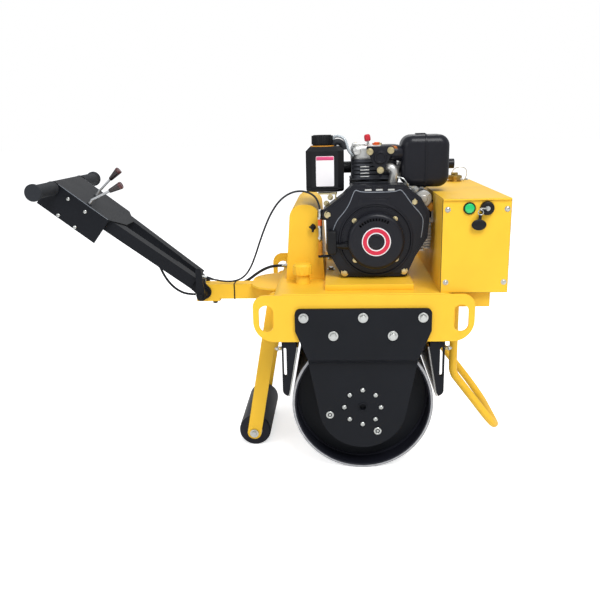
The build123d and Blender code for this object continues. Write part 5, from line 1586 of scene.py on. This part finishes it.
@dataclass
class Boxes:
    """Switches, screws, caps and taps of the boxes and tanks.

    Attributes:
        screw_in: How far the cover's screws stand in from its sides, top and bottom.
        cover_screw: Radius and height of their heads.
        tap: Place of the tank's tap, forward and up.
        ribs: How many grip ribs stand round the deck's filler.
    """

    screw_in: tuple[float, float] = (13.0, 30.0)
    cover_screw: tuple[float, float] = (6.0, 3.4)
    tap: tuple[float, float] = (-147.0, 725.0)
    ribs: int = 14

    def cover_fasteners(self) -> None:
        """Screws the box's cover on."""
        low, high = ends("box_cover")
        piece = Workpiece("cover_screws")
        across, up = self.screw_in
        for x in (low.x + across, high.x - across + 2.0):
            for z in (low.z + up, high.z - up):
                seat = Facing.RIGHT.at(x, low.y, z)
                piece.ring(2.0, 8.0, 1.0, seat, 24)
                piece.dome(*self.cover_screw, lifted(seat, 1.0), 1.8)
        piece.done(ZINC, "frame", "zinc")

    def lid(self) -> None:
        """Folds the box's lid over its front edge, and sets a black rubber strip behind the cover whose rim
        peeks out as a painted shadow line in the gap round it.
        """
        low, high = ends("box_cover")
        lip, gasket = Workpiece("box_lid_lip"), Workpiece("box_cover_shadow_strip")
        lip.block(
            (high.x - low.x, 5.0, 9.0), Facing.RIGHT.at((low.x + high.x) / 2, low.y + 4.0, high.z - 2.5), 1.6
        )
        lip.done(YELLOW_PAINT, "frame", "yellow_paint")
        # The strip peeks 1.3 mm out round the cover: a painted shadow line in the gap.
        grown = 1.3
        outline = oblong(low.x - grown, high.x + grown, low.z - grown, high.z - 4.0)
        gasket.plate(outline, 1.6, Facing.RIGHT.at(0.0, high.y + 0.4, 0.0), 2.0)
        gasket.done(RUBBER, "frame", "black_rubber")

    def switches(self) -> None:
        """Makes the start button's bezel and the key switch with its key and fob."""
        button, switch = middle("start_button"), middle("key_switch")
        face = corner("box_cover").y
        bezel, lens = Workpiece("switch_bezels"), Workpiece("start_button_lens")
        bezel.ring(13.6, 17.0, 4.0, Facing.RIGHT.at(button.x, face, button.z), 40)
        barrel = [(6.0, 0.0), (19.5, 0.0), (19.5, 6.0), (17.5, 12.0), (14.0, 13.5), (8.0, 13.5)]
        bezel.turned([*barrel, (6.0, 11.0), (6.0, 0.0)], Facing.RIGHT.at(switch.x, face, switch.z), 40)
        bezel.prism(8, 16.0, 5.0, Facing.RIGHT.at(switch.x, face - 8.0, switch.z), 1.5)
        bezel.done(BLACK_PLASTIC, "frame", "black_plastic", "key_switch")
        lens.turned(
            [(0.0, 0.0), (13.4, 0.0), (13.4, 5.0), (11.5, 7.2), (6.0, 8.0), (0.0, 8.2)],
            Facing.RIGHT.at(button.x, face, button.z),
            40,
        )
        lens.done(SIGNAL_GREEN, "frame", "green_plastic", "start_button")
        key = Workpiece("switch_key")
        key.rod(6.4, 14.5, Facing.RIGHT.at(switch.x, face, switch.z), 24)
        key.block((2.4, 8.0, 14.0), Facing.RIGHT.at(switch.x - 4.0, face - 13.0, switch.z), 0.6)
        key.block((20.0, 3.0, 2.0), Facing.RIGHT.at(switch.x - 13.0, face - 17.0, switch.z + 1.0), 0.8)
        key.done(ZINC, "frame", "zinc")
        link = Workpiece("key_ring")
        wire = [(6.0, 0.0), (7.2, -1.0), (8.4, 0.0), (7.2, 1.0), (6.0, 0.0)]
        link.turned(wire, Facing.RIGHT.at(switch.x - 19.0, face - 14.0, switch.z - 10.0), 32)
        link.done(ZINC, "frame", "zinc")
        fob = Workpiece("key_fob")
        disc = [(0.0, 0.0), (13.0, 0.0), (15.0, 1.6), (15.0, 5.4), (13.0, 7.0), (0.0, 7.6)]
        seat = Facing.RIGHT.at(switch.x - 22.0, face - 6.5, switch.z - 45.0)
        fob.turned(disc, seat @ Matrix.Diagonal((1.35, 1.0, 1.0, 1.0)), 40)
        fob.block((9.0, 26.0, 4.0), Facing.RIGHT.at(switch.x - 20.0, face - 8.0, switch.z - 26.0), 1.6)
        fob.done(BLACK_PLASTIC, "frame", "black_plastic")

    def caps(self) -> None:
        """Turns the box's brass filler with its wire, and the grips of the deck's filler."""
        low, high = ends("box_filler")
        x, y, radius = (low.x + high.x) / 2, (low.y + high.y) / 2, (high.x - low.x) / 2
        cap = Workpiece("box_filler_brass")
        cap.turned(
            [
                (0.0, 0.0), (radius, 0.0), (radius, 3.0), (radius - 5.0, 5.0), (radius - 5.0, 10.0),
                (radius - 1.0, 11.0), (radius - 1.0, 19.0), (radius - 4.0, 22.0), (0.0, 22.0),
            ],
            Facing.UP.at(x, y, low.z),
            40,
        )
        cap.prism(6, 13.0, 9.0, Facing.UP.at(x, y, high.z), 1.2)
        for turn in (0.5, 0.5 + pi):
            place = Facing.UP.at(x + (radius + 1.0) * cos(turn), y + (radius + 1.0) * sin(turn), low.z + 10.0)
            cap.block((10.0, 8.0, 9.0), place @ Matrix.Rotation(turn, 4, "Z"), 1.6)
        cap.done(BRASS, "frame", "brass", "box_filler")
        line = [
            (x - 10, y, high.z + 6), (x - 6, y - 8, high.z + 22), (x + 16, y - 14, high.z + 30),
            (x + 38, y - 10, high.z + 24), (x + 44, y - 4, high.z + 4), (x + 36, y, low.z + 4),
            (x + 30, y, low.z + 1),
        ]
        piped("filler_lanyard", line, 1.3, ZINC)
        deck = middle("deck_filler")
        top = corner("deck_filler", far=True).z
        grips = Workpiece("deck_filler_grips")
        for i in range(self.ribs):
            turn = 2 * pi * i / self.ribs
            place = Facing.UP.at(deck.x + 27.6 * cos(turn), deck.y + 27.6 * sin(turn), top - 30.0)
            grips.block((5.0, 6.0, 23.0), place @ Matrix.Rotation(turn, 4, "Z"), 1.8)
        lid = [(0.0, 0.0), (16.0, 0.0), (14.0, 2.0), (0.0, 2.6)]
        grips.turned(lid, Facing.UP.at(deck.x, deck.y, top - 0.5), 40)
        grips.done(YELLOW_PAINT, "frame", "yellow_paint")
        studs = Workpiece("box_top_bolts")
        crate = corner("front_box", far=True)
        for back in (16.0, 34.0):
            studs.bolt(6.0, Facing.UP.at(crate.x - back, crate.y - 18.0, crate.z), 8.0)
        studs.done(ZINC, "frame", "zinc")

    def tank_tap(self) -> None:
        """Fits the tap on the rear tank's face."""
        x, z = self.tap
        face = corner("rear_tank").y
        piece = Workpiece("tank_tap")
        piece.ring(4.0, 9.0, 3.0, Facing.RIGHT.at(x, face, z), 24)
        stem = [(0.0, 0.0), (5.5, 0.0), (5.5, 10.0), (4.0, 12.0), (4.0, 18.0), (0.0, 18.0)]
        piece.turned(stem, Facing.RIGHT.at(x, face, z), 24)
        piece.block((7.0, 26.0, 6.0), Facing.RIGHT.at(x, face - 15.0, z), 1.8)
        piece.block((16.0, 6.0, 6.0), Facing.RIGHT.at(x - 4.0, face - 10.0, z + 2.0), 1.8)
        piece.done(BLACK_PLASTIC, "frame", "black_plastic")

    def build(self) -> None:
        """Makes every piece of the boxes and tanks."""
        self.cover_fasteners()
        self.lid()
        self.switches()
        self.caps()
        self.tank_tap()


@dataclass
class Studio:
    """The pale floor, the soft light and the camera.

    Attributes:
        eye_mm: The camera's place, from the drum's axis, the centre plane and the ground.
        yaw: Degrees to the left of straight across the machine.
        pitch: Degrees down.
        roll: Degrees that the camera leans.
        lens_mm: Focal length on a 36 mm sensor.
        floor_half: Half the floor's side, in metres.
        floor_glow: How much light the floor adds to what the camera sees of it.
        soft: Strength of the surround's light on the machine.
        aim_up: How high above the ground the lamps point, in metres.
        lamps: For each lamp its name, its place and its side in metres, and its power in watts.
    """

    eye_mm: tuple[float, float, float] = (-70.0, -2219.0, 1039.0)
    yaw: float = 3.34
    pitch: float = 14.6
    roll: float = 1.3
    lens_mm: float = 40.8
    floor_half: float = 30.0
    floor_glow: float = 0.62
    soft: float = 0.54
    aim_up: float = 0.45
    lamps: tuple = (
        ("key", (1.4, -3.0, 4.4), 2.4, 186.0),
        ("fill", (-3.2, -3.0, 2.4), 2.4, 30.0),
        ("back", (0.5, 3.5, 4.2), 2.6, 50.0),
    )

    def floor(self) -> None:
        """Lays the floor under the machine."""
        shape = bmesh.new()
        bmesh.ops.create_grid(shape, x_segments=1, y_segments=1, size=self.floor_half)
        mesh = bpy.data.meshes.new("floor")
        shape.to_mesh(mesh)
        shape.free()
        made = bpy.data.materials.new("studio_floor")
        made.use_nodes = True
        tree = made.node_tree
        tree.nodes.clear()
        skin = add(tree, "BsdfDiffuse", {"Color": linear("#FAFAFA")}).outputs[0]
        white = add(tree, "Emission", {"Color": (1.0, 1.0, 1.0, 1.0), "Strength": self.floor_glow}).outputs[0]
        both = add(tree, "AddShader", {0: skin, 1: white}).outputs[0]
        seen = add(tree, "LightPath").outputs["Is Camera Ray"]
        mix = add(tree, "MixShader", {0: seen, 1: skin, 2: both}).outputs[0]
        add(tree, "OutputMaterial", {"Surface": mix})
        mesh.materials.append(made)
        ground = bpy.data.objects.new("floor", mesh)
        bpy.context.scene.collection.objects.link(ground)

    def lamp(self, name: str, at: tuple[float, float, float], size: float, watts: float) -> None:
        """Hangs a square lamp that faces the machine.

        Args:
            name: The lamp's name.
            at: Where it hangs, in metres.
            size: The length of its side.
            watts: Its power.
        """
        place = Vector(at)
        light = bpy.data.lights.new(name, "AREA")
        light.size = size
        light.energy = watts
        hung = bpy.data.objects.new(name, light)
        aim = Vector((DRUM_AXLE.x, 0.0, self.aim_up)) - place
        hung.matrix_world = Matrix.Translation(place) @ aim.to_track_quat("-Z", "Y").to_matrix().to_4x4()
        bpy.context.scene.collection.objects.link(hung)

    def sky(self) -> None:
        """Sets an even pale surround, white to the camera and through clear parts alone."""
        world = bpy.data.worlds.new("surround")
        bpy.context.scene.world = world
        world.use_nodes = True
        tree = world.node_tree
        tree.nodes.clear()
        path = add(tree, "LightPath").outputs
        rays = {0: path["Is Camera Ray"], 1: path["Is Transmission Ray"]}
        bright = add(tree, "Math", rays, operation="MAXIMUM").outputs[0]
        soft = add(tree, "Background", {"Color": (0.95, 0.97, 1.0, 1.0), "Strength": self.soft}).outputs[0]
        white = add(tree, "Background", {"Color": (1.0, 1.0, 1.0, 1.0), "Strength": 1.0}).outputs[0]
        both = add(tree, "MixShader", {0: bright, 1: soft, 2: white}).outputs[0]
        add(tree, "OutputWorld", {"Surface": both})

    def camera(self) -> None:
        """Places the camera and makes it the scene's own."""
        lens = bpy.data.cameras.new("camera")
        lens.lens = self.lens_mm
        lens.sensor_width = 36.0
        lens.clip_end = 100.0
        eye = bpy.data.objects.new("camera", lens)
        turn = (
            Matrix.Rotation(radians(self.yaw), 4, "Z")
            @ Matrix.Rotation(radians(90 - self.pitch), 4, "X")
            @ Matrix.Rotation(radians(-self.roll), 4, "Z")
        )
        eye.matrix_world = Matrix.Translation(spot(*self.eye_mm)) @ turn
        bpy.context.scene.collection.objects.link(eye)
        bpy.context.scene.camera = eye

    def build(self) -> None:
        """Sets up floor, light and camera."""
        bpy.context.scene.view_settings.view_transform = "Standard"
        self.floor()
        self.sky()
        for lamp in self.lamps:
            self.lamp(*lamp)
        self.camera()


def main() -> None:
    """Builds every piece in order."""
    logging.basicConfig(level=logging.INFO, format="%(name)s: %(message)s")
    Studio().build()
    Cables().build()
    dress_nodes()
    for assembly in (DrumGear(), Chassis(), Handle(), Engine(), Boxes()):
        assembly.build()
        log.info("built %s", type(assembly).__name__)


if __name__ == "__main__":
    main()
